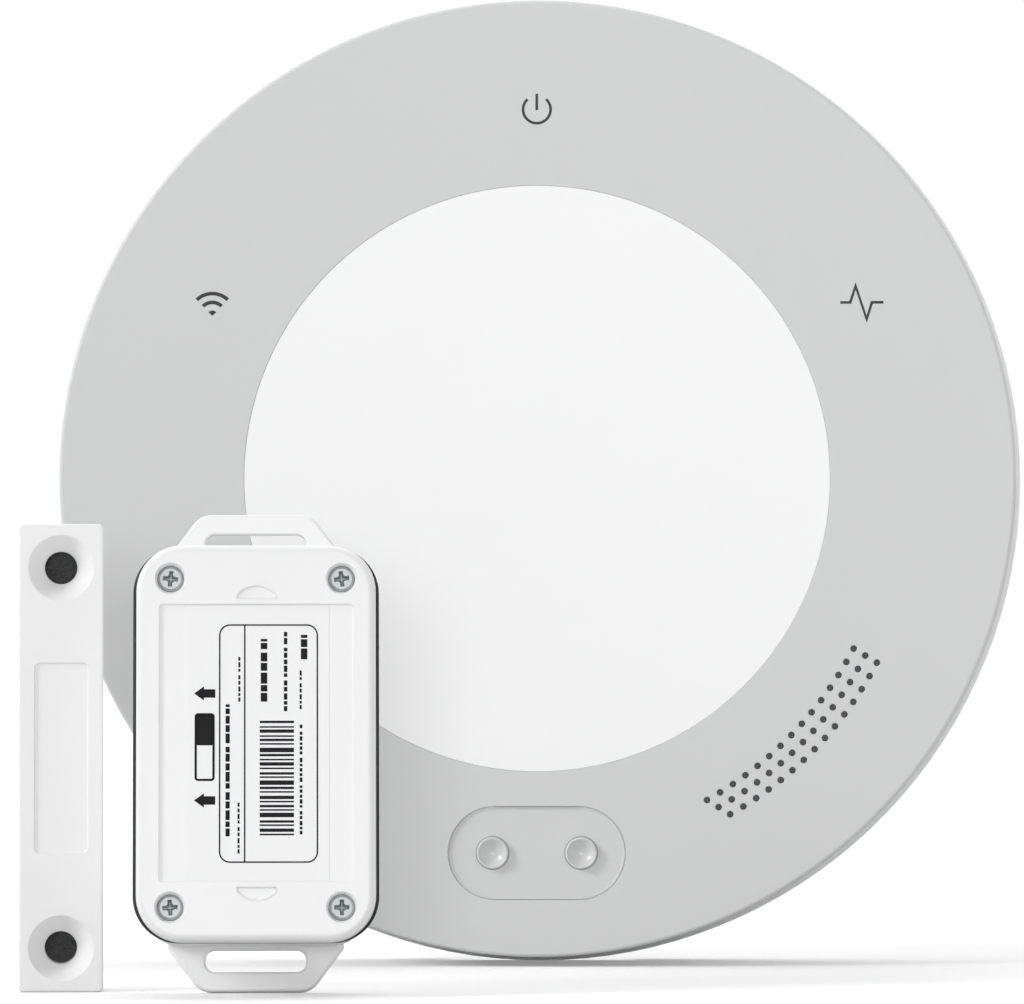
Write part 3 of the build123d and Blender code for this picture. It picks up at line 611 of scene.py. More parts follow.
class RoundUnitSettings(bpy.types.PropertyGroup):
    """Sizes and colours of the round wall unit."""

    face: size("Ring face", "Height of the ring's face over the back", 29.7)
    front: size("Cover face", "Height of the cover's face over the back", 29.66)
    ledge: size("Ledge", "Height of the ledge that the cover rests on", 27.2)
    skirt: size("Skirt", "Outer radius of the ring at its back edge", 76.47)
    skirt_height: size("Skirt height", "Height of the ring's back edge over the back", 8.3)
    edge: size("Ring edge", "Round on the ring's front edge", 0.6)
    seat: size("Cover seat", "Radius of the ring's seat for the cover", 46.55)
    lean: FloatProperty(
        name="Skirt lean", description="How far the ring's skirt leans in towards the front",
        default=radians(1.3), unit="ROTATION",
    )
    cover: size("Cover", "Radius of the centre cover", 46.53)
    cover_edge: size("Cover edge", "Round on the cover's front edge", 0.07)
    plate_place: size("Button plate place", "From the axis down to the button plate", 59.466)
    plate_length: size("Plate length", "Length of the button plate", 28.1)
    plate_height: size("Plate height", "Height of the button plate", 14.7)
    button: size("Button radius", "Radius of a button", 2.6)
    spacing: size("Button spacing", "Between the two buttons", 14.1)
    hole: size("Sound hole", "Radius of a sound hole", 0.53)
    hole_skin: size("Skin", "Thickness of the ring round the sound holes", 1.05)
    hole_count: IntProperty(name="Holes in a row", description="Sound holes in a row", default=15)
    ring_colour: colour("Ring colour", "Grey of the ring and buttons", (0.628, 0.63, 0.634))
    white: colour("White", "White of the cover and housing", (0.9, 0.901, 0.903))
    sign_colour: colour("Sign colour", "Grey of the three signs", (0.062, 0.062, 0.064))


class SensorSettings(bpy.types.PropertyGroup):
    """Sizes and colours of the door sensor."""

    width: size("Width", "Width of the case", 35.0)
    height: size("Height", "Height of the case without its ears", 58.1)
    depth: size("Depth", "From the back to the lid's face", 19.0)
    corner: size("Corner", "Round of the case's corners", 6.8)
    edge: size("Lid edge", "Round on the lid's front edge", 1.1)
    ear: size("Ear end", "Width of an ear at its end", 16.4)
    screw_across: size("Screws across", "From the middle to the screws, across", 12.5)
    screw_up: size("Screws up", "From the middle to the screws, up", 24.05)
    panel_width: size("Panel width", "Width of the label panel", 28.245)
    panel_height: size("Panel height", "Height of the label panel", 40.55)
    white: colour("White", "White of the case", (0.82, 0.82, 0.822))
    seal: colour("Seal", "Colour of the rubber seal", (0.012, 0.012, 0.012))
    ink: colour("Ink", "Colour of the label's print", (0.012, 0.012, 0.013))


class MagnetSettings(bpy.types.PropertyGroup):
    """Sizes and colours of the magnet bar."""

    width: size("Width", "Width of the case", 12.5)
    height: size("Height", "Height of the case", BAR_HEIGHT)
    depth: size("Depth", "From the pad to the face", 7.0)
    hole_spacing: size("Hole spacing", "Between the screw holes", 56.3)
    throat: size("Throat", "Radius of a screw hole", 2.4)
    funnel: size("Funnel", "Radius of a screw hole's funnel at the face", 4.9)
    white: colour("White", "White of the case", (0.84, 0.84, 0.84))


class StudioSettings(bpy.types.PropertyGroup):
    """The stage, its lamps and the camera."""

    camera: FloatVectorProperty(
        name="Camera", description="Where the camera stands", default=(0.030, -1.2, -0.0215),
        subtype="TRANSLATION",
    )
    target: FloatVectorProperty(
        name="Target", description="What the camera looks at", default=(-0.0048, 0.0, -0.0033),
        subtype="TRANSLATION",
    )
    lens: FloatProperty(name="Lens", description="Focal length in millimetres", default=259.23)
    key: FloatProperty(name="Key light", description="Strength from the upper left", default=1.6)
    top: FloatProperty(name="Top light", description="Strength from above", default=0.6)
    side: FloatProperty(
        name="Side light", description="Power of the soft lamp at the right", default=0.7
    )
    fill: FloatProperty(name="Fill light", description="Strength from the front", default=0.82)
    sky: FloatProperty(name="Sky", description="Strength of the light all round", default=0.36)
    paper: FloatProperty(name="Paper", description="Lightness of the floor as seen", default=1.06)
    glow: FloatProperty(name="Glow", description="Share of plain white in the floor", default=0.25)


def mm(value):
    """A property's length in millimetres."""
    return value / MM


# Round unit

def grille_places():
    """The sound holes: three equal arcs that shift sideways row by row."""
    first, last, radius = -60.7, -27.4, 58.3646
    count = bpy.context.scene.round_unit.hole_count
    places = []
    for row in range(3):
        for column in range(count):
            x, y = polar(radius, first + (last - first) * column / (count - 1))
            places.append((x - 1.56 + 1.84 * row, y - 0.16 - 1.12 * row))
    return places


def speaker_slot(width):
    """The speaker's outline: a slot along the rows of sound holes."""
    return moved(long_hole(width + 16.1, width), (42.2, -41.9), SPEAKER_TURN)


def grille_field(margin):
    """A box round all the sound holes."""
    field = rounded_box(36.2 + 2 * margin, 9.0 + 2 * margin, 1.0 + margin, 4)
    return moved(field, (41.35, -41.05), SPEAKER_TURN)


def button_places(unit):
    """Middles of the two buttons."""
    return [(side * mm(unit.spacing) / 2, -mm(unit.plate_place)) for side in (-1, 1)]


class GARAGE_OT_front_ring(bpy.types.Operator):
    """Build the grey front ring with its button plate and sound holes"""

    bl_idname = "garage.front_ring"
    bl_label = "Front ring"

    def execute(self, context):
        unit = context.scene.round_unit
        face, seat, edge = mm(unit.face), mm(unit.seat), mm(unit.edge)
        skirt, skirt_height = mm(unit.skirt), mm(unit.skirt_height)
        inside = face - RING_WALL
        lean = unit.lean
        line = cos(lean) * skirt + sin(lean) * skirt_height
        edge_middle = (line - edge - sin(lean) * (face - edge)) / cos(lean)
        ring = Shell()
        turned = circle(0, 288)
        ledge, ledge_width, back_round = mm(unit.ledge), 3.4, 0.3
        back_edge, face_outer = ring.wall(
            turned,
            [(skirt - back_round, skirt_height)]
            + arc(skirt - back_round, skirt_height + back_round, back_round, -60, degrees(lean), 3)
            + arc(edge_middle, face - edge, edge, degrees(lean), 90, 8),
        )
        face_inner, under_inner = ring.wall(
            turned,
            arc(seat + 0.1, face - 0.1, 0.1, 90, 180, 4)
            + [(seat, ledge), (seat - ledge_width, ledge)]
            + [(seat - ledge_width, ledge - RING_WALL), (seat + RING_WALL, ledge - RING_WALL)]
            + [(seat + RING_WALL, inside)],
        )
        inner = skirt - (inside - skirt_height) * tan(lean) - RING_WALL
        under_outer, skirt_inner = ring.wall(
            turned, [(inner, inside), (skirt - RING_WALL, skirt_height)]
        )
        ring.join(skirt_inner, back_edge)

        above, below = [face_outer, face_inner], [under_outer, under_inner]
        skin = face - mm(unit.hole_skin)
        ceiling, floor = [], []
        ring.opening(grille_field(0.5), [(0, inside), (0, skin)], below, ceiling)
        rim = [(0.1, face), (0.04, face - 0.03), (0, face - 0.1), (0, skin)]
        for place in grille_places():
            ring.opening(circle(mm(unit.hole), 20, place), rim, above, ceiling)
        ring.face(*ceiling)
        plate = long_hole(
            mm(unit.plate_length), mm(unit.plate_height), 24, (0, -mm(unit.plate_place))
        )
        groove = [
            (0.12, 0), (0.09, 0.04), (0.08, 0.4), (-0.05, 0.4), (-0.06, 0.2), (-0.1, 0.17),
            (-0.4, 0.42), (-0.5, 0.43),
        ]
        ring.opening(plate, [(grow, face - down) for grow, down in groove], above, floor)
        for place in button_places(unit):
            hole = circle(mm(unit.button) + 0.05, 64, place)
            ring.opening(
                hole, [(0.03, face - 0.43), (0, face - 0.46), (0, inside)], floor, below
            )
        ring.face(*above)
        ring.face(*floor)
        ring.face(*below)
        piece = ring.place("ring_shell", HUB)
        finish = moulded_plastic("ring plastic", unit.ring_colour, 0.5)
        dress(piece, finish, "hub", "ring_grey", "front_ring")
        return {"FINISHED"}


class GARAGE_OT_centre_cover(bpy.types.Operator):
    """Build the white centre cover"""

    bl_idname = "garage.centre_cover"
    bl_label = "Centre cover"

    def execute(self, context):
        unit = context.scene.round_unit
        radius, front, edge = mm(unit.cover), mm(unit.front), mm(unit.cover_edge)
        back = mm(unit.ledge)
        cover = Shell()
        low, high = cover.wall(
            circle(radius, 288),
            [(-0.2, back), (0, back + 0.2)] + arc(-edge, front - edge, edge, 0, 90, 5),
        )
        cover.face(low)
        cover.face(high)
        piece = cover.place("cover_disc", HUB)
        finish = moulded_plastic("cover plastic", unit.white, 0.42, 0.22, 0.003, 0.008)
        dress(piece, finish, "hub", "cover_white", "centre_cover")
        return {"FINISHED"}


class GARAGE_OT_speaker_cloth(bpy.types.Operator):
    """Build the speaker's gasket with the grey cloth that shows through the sound holes"""

    bl_idname = "garage.speaker_cloth"
    bl_label = "Speaker cloth"

    def execute(self, context):
        unit = context.scene.round_unit
        high = mm(unit.face) - RING_WALL
        low = high - 1.0
        cloth = mm(unit.face) - mm(unit.hole_skin) - 0.05
        gasket = Shell()
        foot, crown = gasket.wall(
            speaker_slot(19.8), [(0, low), (0, high - 0.16), (-0.1, high - 0.06)]
        )
        inner, step = gasket.wall(speaker_slot(15.8), [(0, low), (-0.1, high - 0.4)])
        gasket.face(foot, inner)
        gasket.face(crown)
        gasket.face(step)
        gasket.block(grille_field(0.25), high - 0.05, cloth, 0.05)
        piece = gasket.place("speaker_cloth", HUB)
        finish = woven_cloth("speaker cloth", (0.21, 0.21, 0.215), 0.42)
        dress(piece, finish, "hub", "foam_black", "speaker_gasket")
        return {"FINISHED"}


class GARAGE_OT_buttons(bpy.types.Operator):
    """Build the two round buttons with their hollow tops, flanges and stems"""

    bl_idname = "garage.buttons"
    bl_label = "Buttons"

    def execute(self, context):
        unit = context.scene.round_unit
        radius = mm(unit.button)
        top = mm(unit.face) + 0.5
        dish, deep = 2.2, 1.2
        sphere = (dish**2 + deep**2) / (2 * deep)
        flange = mm(unit.face) - 2.3
        finish = moulded_plastic("button plastic", unit.ring_colour, 0.22, 0.2, 0.001)
        for side, place in zip(("left", "right"), button_places(unit)):
            key = Shell()
            round_out = circle(0, 64, place)
            hollow = [
                (r, top - deep + sphere - sqrt(sphere**2 - r**2))
                for r in (2.15, 2.05, 1.9, 1.7, 1.45, 1.2, 0.9, 0.6, 0.3)
            ]
            stem, middle = key.wall(
                round_out,
                [(1.5, 20.5), (1.5, flange - 1.0), (3.5, flange - 1.0), (3.5, flange)]
                + [(radius, flange), (radius, top - 0.9), (radius - 0.05, top - 0.72)]
                + arc(radius - 0.32, top - 0.14, 0.14, 20, 90, 4)
                + hollow,
            )
            key.cap(stem)
            key.point_cap(middle, top - deep)
            piece = key.place(f"{side}_key_top", HUB)
            dress(piece, finish, f"{side}_key", "button_grey", f"{side}_button")
        return {"FINISHED"}


def stroke(shell, points, width, low, high, closed=False):
    """A flat ribbon along points, with mitred bends."""
    line = [Vector(p) for p in points]
    count = len(line)
    left, right = [], []
    for i, here in enumerate(line):
        before = line[i - 1] if i or closed else here
        after = line[(i + 1) % count] if i < count - 1 or closed else here
        first = (here - before).normalized() if here != before else None
        second = (after - here).normalized() if here != after else None
        along = (first or second) + (second or first)
        along.normalize()
        across = Vector((-along.y, along.x))
        base = first or second
        stretch = 1 / max(0.35, across.dot(Vector((-base.y, base.x))))
        left.append(here + across * width / 2 * stretch)
        right.append(here - across * width / 2 * stretch)
    quads = range(count if closed else count - 1)
    rows = [
        [[shell.mesh.verts.new((p.x, p.y, h)) for p in side] for side in (left, right)]
        for h in (low, high)
    ]
    for i in quads:
        j = (i + 1) % count
        for row in rows:
            shell.mesh.faces.new((row[0][i], row[0][j], row[1][j], row[1][i]))
        for side in (0, 1):
            shell.mesh.faces.new(
                (rows[0][side][i], rows[0][side][j], rows[1][side][j], rows[1][side][i])
            )
    if not closed:
        for end in (0, count - 1):
            shell.mesh.faces.new(
                (rows[0][0][end], rows[0][1][end], rows[1][1][end], rows[1][0][end])
            )


class GARAGE_OT_signs(bpy.types.Operator):
    """Print the three signs on the ring: power, wireless and pulse"""

    bl_idname = "garage.signs"
    bl_label = "Signs"

    def execute(self, context):
        unit = context.scene.round_unit
        low, high = mm(unit.face) - 0.02, mm(unit.face) + 0.012
        reach, line, wave_line = 58.64, 0.42, 0.58
        finish = printed_ink("sign ink", unit.sign_colour)

        power = Shell()
        x, y = polar(reach, 90)
        stroke(power, arc(x, y, 2.19, 132, 408, 48), line, low, high)
        stroke(power, [(x, y + 2.5), (x, y - 0.1)], line, low, high)
        wireless = Shell()
        x, y = polar(reach, 151.7)
        foot = (x, y - 1.93)
        for radius in (3.56, 2.15):
            stroke(wireless, arc(*foot, radius, 46, 134, 28), wave_line, low, high)
        wireless.tile([foot] + arc(*foot, 0.86, 43, 137, 12), low, high)
        pulse = Shell()
        x, y = polar(reach, 28.4)
        beat = [(-3.42, 0), (-1.83, 0), (-0.99, 2.62), (0.77, -2.66), (1.6, 0.02), (3.42, 0.02)]
        stroke(pulse, [(x + a, y + b) for a, b in beat], line, low, high)
        for name, sign in (("power", power), ("wireless", wireless), ("pulse", pulse)):
            dress(sign.place(f"{name}_sign", HUB), finish, "hub", "ring_grey")
        return {"FINISHED"}


class GARAGE_OT_round_unit_inside(bpy.types.Operator):
    """Finish the housing, board, speaker, relays, radio, terminals and inlet"""

    bl_idname = "garage.round_unit_inside"
    bl_label = "Housing and inner parts"

    def execute(self, context):
        unit = context.scene.round_unit
        white = moulded_plastic("housing plastic", unit.white, 0.45, 0.3, 0.004, 0.01)
        black = moulded_plastic("component plastic", (0.022, 0.022, 0.023), 0.42, 0.3)
        brass = brushed_metal("plated brass", (0.83, 0.66, 0.36), 0.3, (1.0, 1.0, 0.1))
        steel = plated_steel("plated screw", (0.55, 0.56, 0.58), 0.36)
        green = moulded_plastic("terminal plastic", (0.035, 0.27, 0.1), 0.4, 0.3)
        board = circuit_board("main board mask", (0.012, 0.11, 0.045), (0.05, 0.26, 0.11), 1.6)
        finishes = {
            "rear_housing": white,
            "housing_screws": steel,
            "board_screws": steel,
            "main_board": board,
            "sensor_board": circuit_board(
                "sensor board mask", (0.012, 0.1, 0.05), (0.05, 0.24, 0.12), 0.9
            ),
            "left_plunger": black,
            "right_plunger": black,
            "left_switch": black,
            "right_switch": black,
            "status_leds": clear_plastic("lamp", (0.9, 0.9, 0.78), 0.85),
            "light_guides": clear_plastic("light guide", (0.85, 0.88, 0.9), 0.45),
            "speaker_frame": black,
            "speaker_cone": speaker_paper("speaker cone", (0.05, 0.05, 0.05)),
            "speaker_magnet": brushed_metal("magnet steel", (0.42, 0.42, 0.43), 0.38, (1, 1, 1)),
            "door_relays": moulded_plastic("relay plastic", (0.03, 0.13, 0.42), 0.3, 0.5),
            "wireless_module": circuit_board(
                "module mask", (0.008, 0.02, 0.075), (0.03, 0.06, 0.17), 0.8
            ),
            "module_shield": brushed_metal("tinned can", (0.6, 0.6, 0.58), 0.35, (1.0, 1.0, 0.08)),
            "radio_aerial": brass,
            "terminal_header": green,
            "terminal_pins": brass,
            "terminal_plug": green,
            "terminal_screws": steel,
            "power_inlet": black,
            "inlet_pin": brass,
            "sensor_battery": brushed_metal("cell can", (0.68, 0.68, 0.67), 0.3, (0.2, 1, 1)),
            "battery_clips": brass,
            "sensor_chip": black,
            "reed_switch": clear_plastic("reed glass", (0.7, 0.82, 0.76), 0.55),
            "sensor_aerial": brass,
            "bar_magnet": plated_steel("bar magnet plating", (0.5, 0.5, 0.5), 0.32),
        }
        for node, finish in finishes.items():
            for holder in NODES[node].material_slots:
                holder.material = finish
        return {"FINISHED"}


# Door sensor

class GARAGE_OT_sensor_base(bpy.types.Operator):
    """Build the sensor's tapered case and its two slotted ears"""

    bl_idname = "garage.sensor_base"
    bl_label = "Sensor base"

    def execute(self, context):
        unit = context.scene.door_sensor
        width, height, corner = mm(unit.width), mm(unit.height), mm(unit.corner)
        top = mm(unit.depth) - 4.6
        base = Shell()
        draft = tan(radians(1.5))
        case = rounded_box(width, height, corner, 14)
        low, high = base.wall(
            case,
            [(-top * draft, 0.0), (-(top - 3) * draft, 3.0)]
            + [(-0.15 * draft, top - 0.15), (-0.15, top)],
        )
        base.face(low)
        base.face(high)
        end = mm(unit.ear)
        plate = ear_outline(end, end + 0.75 * (EAR_SPAN - height), height / 2, EAR_SPAN, 3.2)
        back, front = base.wall(
            plate, [(-0.15, 0.06), (0, 0.2)] + arc(-0.4, 1.6, 0.4, 0, 90, 4)
        )
        backs, fronts = [back], [front]
        for side in (-1, 1):
            base.opening(
                rounded_box(14.9, 3.2, 1.4, 8, (0, side * 30.9)),
                [(0.1, 0.06), (0, 0.16)] + arc(0.3, 1.7, 0.3, 180, 90, 4),
                backs, fronts,
            )
        base.face(*backs)
        base.face(*fronts)
        piece = base.place("sensor_case", SENSOR)
        finish = polished_plastic("sensor plastic", unit.white, 0.34)
        dress(piece, finish, "door_sensor", "sensor_white", "sensor_base")
        return {"FINISHED"}


class GARAGE_OT_sensor_seal(bpy.types.Operator):
    """Build the black rubber seal between the sensor's base and lid"""

    bl_idname = "garage.sensor_seal"
    bl_label = "Sensor seal"

    def execute(self, context):
        unit = context.scene.door_sensor
        top, width, height = mm(unit.depth) - LID_THICKNESS, mm(unit.width), mm(unit.height)
        corner, band = mm(unit.corner), 1.8
        seal = Shell()
        frame_out = rounded_box(width + 1.0, height, corner, 14)
        frame_in = rounded_box(width - 2 * band, height - 2 * band, corner - band, 14)
        low, high = seal.wall(
            frame_out,
            [(-0.35, top - 1.2)]
            + arc(-0.35, top - 0.85, 0.35, -60, 0, 3)
            + arc(-0.35, top - 0.35, 0.35, 0, 60, 3)
            + [(-0.35, top)],
        )
        inner_low, inner_high = seal.wall(frame_in, [(0, top - 1.2), (0, top)])
        seal.face(low, inner_low)
        seal.face(high, inner_high)
        piece = seal.place("seal_frame", SENSOR)
        dress(piece, rubber("seal rubber", unit.seal), "door_sensor", "seal_black", "sensor_seal")
        return {"FINISHED"}


def screw_places(unit):
    """Middles of the four lid screws."""
    across, up = mm(unit.screw_across), mm(unit.screw_up)
    return [(across * i, up * j) for i in (-1, 1) for j in (-1, 1)]


class GARAGE_OT_sensor_lid(bpy.types.Operator):
    """Build the sensor's lid with its screw wells, label panel and thumb marks"""

    bl_idname = "garage.sensor_lid"
    bl_label = "Sensor lid"

    def execute(self, context):
        unit = context.scene.door_sensor
        face, edge = mm(unit.depth), mm(unit.edge)
        lid = Shell()
        outline = rounded_box(mm(unit.width), mm(unit.height), mm(unit.corner), 16)
        low, high = lid.wall(
            outline,
            [(-0.25, face - LID_THICKNESS), (0, face - LID_THICKNESS + 0.25)]
            + arc(-edge, face - edge, edge, 0, 90, 8),
        )
        above, below = [high], [low]
        for place in screw_places(unit):
            lid.opening(
                circle(0, 48, place),
                arc(2.35, face - 0.1, 0.1, 90, 180, 3)
                + [(2.22, face - 0.5), (1.98, face - 0.56), (1.96, face - 0.7)]
                + [(1.96, face - SCREW_SEAT), (1.25, face - SCREW_SEAT)]
                + [(1.25, face - LID_THICKNESS)],
                above, below,
            )
        panel = rounded_box(mm(unit.panel_width), mm(unit.panel_height), 0.5, 4)
        lid.opening(
            panel, arc(0.1, face - 0.1, 0.1, 90, 180, 3) + [(0, face - PANEL_DEPTH)], above
        )
        for flip, up in ((False, 21.18), (True, -21.18)):
            lid.opening(
                half_moon(5.5, 1.75, 0.45, flip, (0, up)),
                [(0.3, face), (0.22, face + 0.05), (0.12, face + 0.06), (0.03, face + 0.02)]
                + [(-0.04, face - 0.22), (-0.1, face - 0.26)],
                above,
            )
        lid.face(*above)
        lid.face(*below)
        piece = lid.place("lid_cap", SENSOR)
        finish = polished_plastic("lid plastic", unit.white, 0.32)
        dress(piece, finish, "door_sensor", "sensor_white", "sensor_lid")
        return {"FINISHED"}


def cross(arm, width, turn, centre):
    """A cross with rounded inner corners, turned about its centre."""
    def at(grow):
        side, reach = width / 2 + grow, arm + grow
        inner = side + 0.24
        quarter = [(reach, -side), (reach, side), (inner, side), (side, inner)]
        points = []
        for step in range(4):
            spin = Matrix.Rotation(turn + step * pi / 2, 2)
            for point in quarter:
                turned = spin @ Vector(point)
                points.append((centre[0] + turned.x, centre[1] + turned.y))
        return points
    return at


class GARAGE_OT_sensor_screws(bpy.types.Operator):
    """Build the four cross-head screws in the sensor's lid"""

    bl_idname = "garage.sensor_screws"
    bl_label = "Sensor screws"

    def execute(self, context):
        unit = context.scene.door_sensor
        seat = mm(unit.depth) - SCREW_SEAT
        finish = plated_steel("lid screw plating", (0.46, 0.485, 0.49), 0.54)
        top, turns = seat + 1.0, (0.08, -0.1, 0.02, 0.14)
        for number, (place, turn) in enumerate(zip(screw_places(unit), turns), 1):
            head = Shell()
            foot, crown = head.wall(
                circle(0, 48, place),
                [(1.0, seat - 6.5), (1.0, seat), (1.86, seat), (1.9, seat + 0.1)]
                + [(1.9, top - 0.3), (1.86, top - 0.22), (1.74, top - 0.2), (1.66, top - 0.17)]
                + [(1.6, top - 0.06), (1.54, top - 0.01), (1.5, top)],
            )
            head.cap(foot)
            brim, bottom = head.wall(
                cross(1.1, 0.56, turn, place),
                [(0.06, top), (0, top - 0.05), (-0.05, top - 0.5), (-0.1, top - 0.85)]
                + [(-0.15, top - 0.95)],
            )
            head.face(crown, brim)
            head.point_cap(bottom, top - 1.25)
            piece = head.place(f"lid_screw_{number}", SENSOR)
            dress(piece, finish, "door_sensor", "steel", "sensor_screws")
        return {"FINISHED"}


class GARAGE_OT_sensor_label(bpy.types.Operator):
    """Lay the film on the lid's panel and print its frame, arrows, bars and rules"""

    bl_idname = "garage.sensor_label"
    bl_label = "Sensor label"

    def execute(self, context):
        unit = context.scene.door_sensor
        floor = mm(unit.depth) - PANEL_DEPTH
        film = Shell()
        film.block(
            rounded_box(20.9, mm(unit.panel_height) - 0.2, 0.3, 4, (0.22, 0)),
            floor - 0.02, floor + 0.06, 0.03,
        )
        piece = film.place("label_film", SENSOR)
        dress(piece, label_film("label film", (0.84, 0.84, 0.845)), "door_sensor", "sensor_white")

        low, high, line = floor + 0.05, floor + 0.075, 0.22
        ink = Shell()
        border = rounded_box(14.25, 34.7, 1.5, 8, (1.81, -0.11))(0)
        stroke(ink, border, line, low, high, closed=True)
        stroke(ink, [(-1.66, 17.2), (-1.66, -17.4)], line, low, high)
        for up in (7.2, -8.45):
            shaft = [(-7.6, up - 0.62), (-5.95, up - 0.62), (-5.95, up + 0.62), (-7.6, up + 0.62)]
            tip = [(-7.6, up + 1.05), (-9.05, up), (-7.6, up - 1.05)]
            ink.tile(shaft + tip, low, high)
        up, step = -13.55, 0
        while up < 3.0:
            wide = (0.24, 0.5, 0.24, 0.36, 0.66, 0.24, 0.36)[step % 7]
            stroke(ink, [(0.52, up + wide / 2), (5.52, up + wide / 2)], wide, low, high)
            up += wide + (0.26, 0.36, 0.24, 0.44, 0.28)[step % 5]
            step += 1
        rules = (
            (-4.15, -13.7, 5.6, 0.62, 1.15), (-2.55, -16.2, -8.4, 0.3, 0.62),
            (-2.45, 6.0, 13.0, 0.3, 0.62), (1.15, 6.0, 15.2, 0.95, 1.3),
            (4.3, 4.6, 16.4, 0.5, 0.75), (6.5, 4.9, 10.8, 0.32, 0.6),
            (6.55, -13.4, 2.7, 0.4, 0.52), (7.0, 12.2, 15.8, 0.95, 1.6),
        )
        for across, first, last, width, dash in rules:
            up, step = first, 0
            while up < last - 0.2:
                reach = min(dash * (1, 0.72, 1.25, 0.9)[step % 4], last - up)
                stroke(ink, [(across, up), (across, up + reach)], width, low, high)
                up += reach + (0.2, 0.2, 0.26, 0.2, 0.5)[step % 5]
                step += 1
        bar = rounded_box(2.6, 9.6, 0.35, 4, (-7.5, -0.65))(0)
        stroke(ink, bar, 0.34, low, high, closed=True)
        ink.tile(rounded_box(2.5, 4.5, 0.3, 4, (-7.5, 1.85))(0), low, high)
        piece = ink.place("label_print", SENSOR)
        dress(piece, printed_ink("label ink", unit.ink), "door_sensor", "sensor_white")
        return {"FINISHED"}


# Magnet bar

class GARAGE_OT_magnet_bar(bpy.types.Operator):
    """Build the magnet bar's case with its funnels and panel, and the foam pad behind it, whose
    near-black colour is painted shade down the screw holes
    """

    bl_idname = "garage.magnet_bar"
    bl_label = "Magnet bar"

    def execute(self, context):
        unit = context.scene.magnet_bar
        width, height, depth = mm(unit.width), mm(unit.height), mm(unit.depth)
        case = Shell()
        outline = rounded_box(width, height, 0.7, 6)
        back, front = case.wall(
            outline,
            [(-0.15, -depth), (0, -depth + 0.15)] + arc(-0.3, -0.3, 0.3, 0, 90, 4),
        )
        above, below = [front], [back]
        throat, funnel = mm(unit.throat), mm(unit.funnel)
        deep = (funnel - throat) / tan(radians(42))
        for side in (-1, 1):
            place = (0, side * mm(unit.hole_spacing) / 2)
            case.opening(
                circle(0, 72, place),
                arc(funnel + 0.02, -0.16, 0.16, 90, 160, 3)
                + [(throat + 0.12, -deep + 0.05), (throat, -deep - 0.12), (throat, -depth)],
                above, below,
            )
        panel = rounded_box(7.9, 28.1, 0.8, 6)
        case.opening(panel, arc(0.1, -0.1, 0.1, 90, 180, 3) + [(0, -0.22), (-0.08, -0.3)], above)
        pocket = rounded_box(8.3, 34.3, 0.1, 2)
        case.opening(pocket, [(0, -depth), (0, -depth + 4.35)], below)
        case.face(*above)
        case.face(*below)
        piece = case.place("magnet_shell", MAGNET)
        finish = moulded_plastic("magnet plastic", unit.white, 0.4, 0.3, 0.003, 0.01)
        dress(piece, finish, "magnet_bar", "magnet_white", "magnet_case")

        pad = Shell()
        sheet = rounded_box(width - 0.6, height - 0.6, 0.5, 6)
        first, last = pad.wall(
            sheet,
            [(-0.12, -depth), (0, -depth - 0.14), (-0.04, -depth - 0.4)]
            + [(0, -depth - 0.66), (-0.12, -depth - 0.79)],
        )
        pad.face(first)
        pad.face(last)
        piece = pad.place("foam_pad", MAGNET)
        # The pad's near-black colour, seen at the bottom of the screw holes, is painted shade: it
        # stands in for the shade in the throats.
        finish = foam("dark pad, painted throat shade", (0.06, 0.06, 0.062))
        dress(piece, finish, "magnet_bar", "foam_black", "magnet_pad")
        return {"FINISHED"}


# Stage

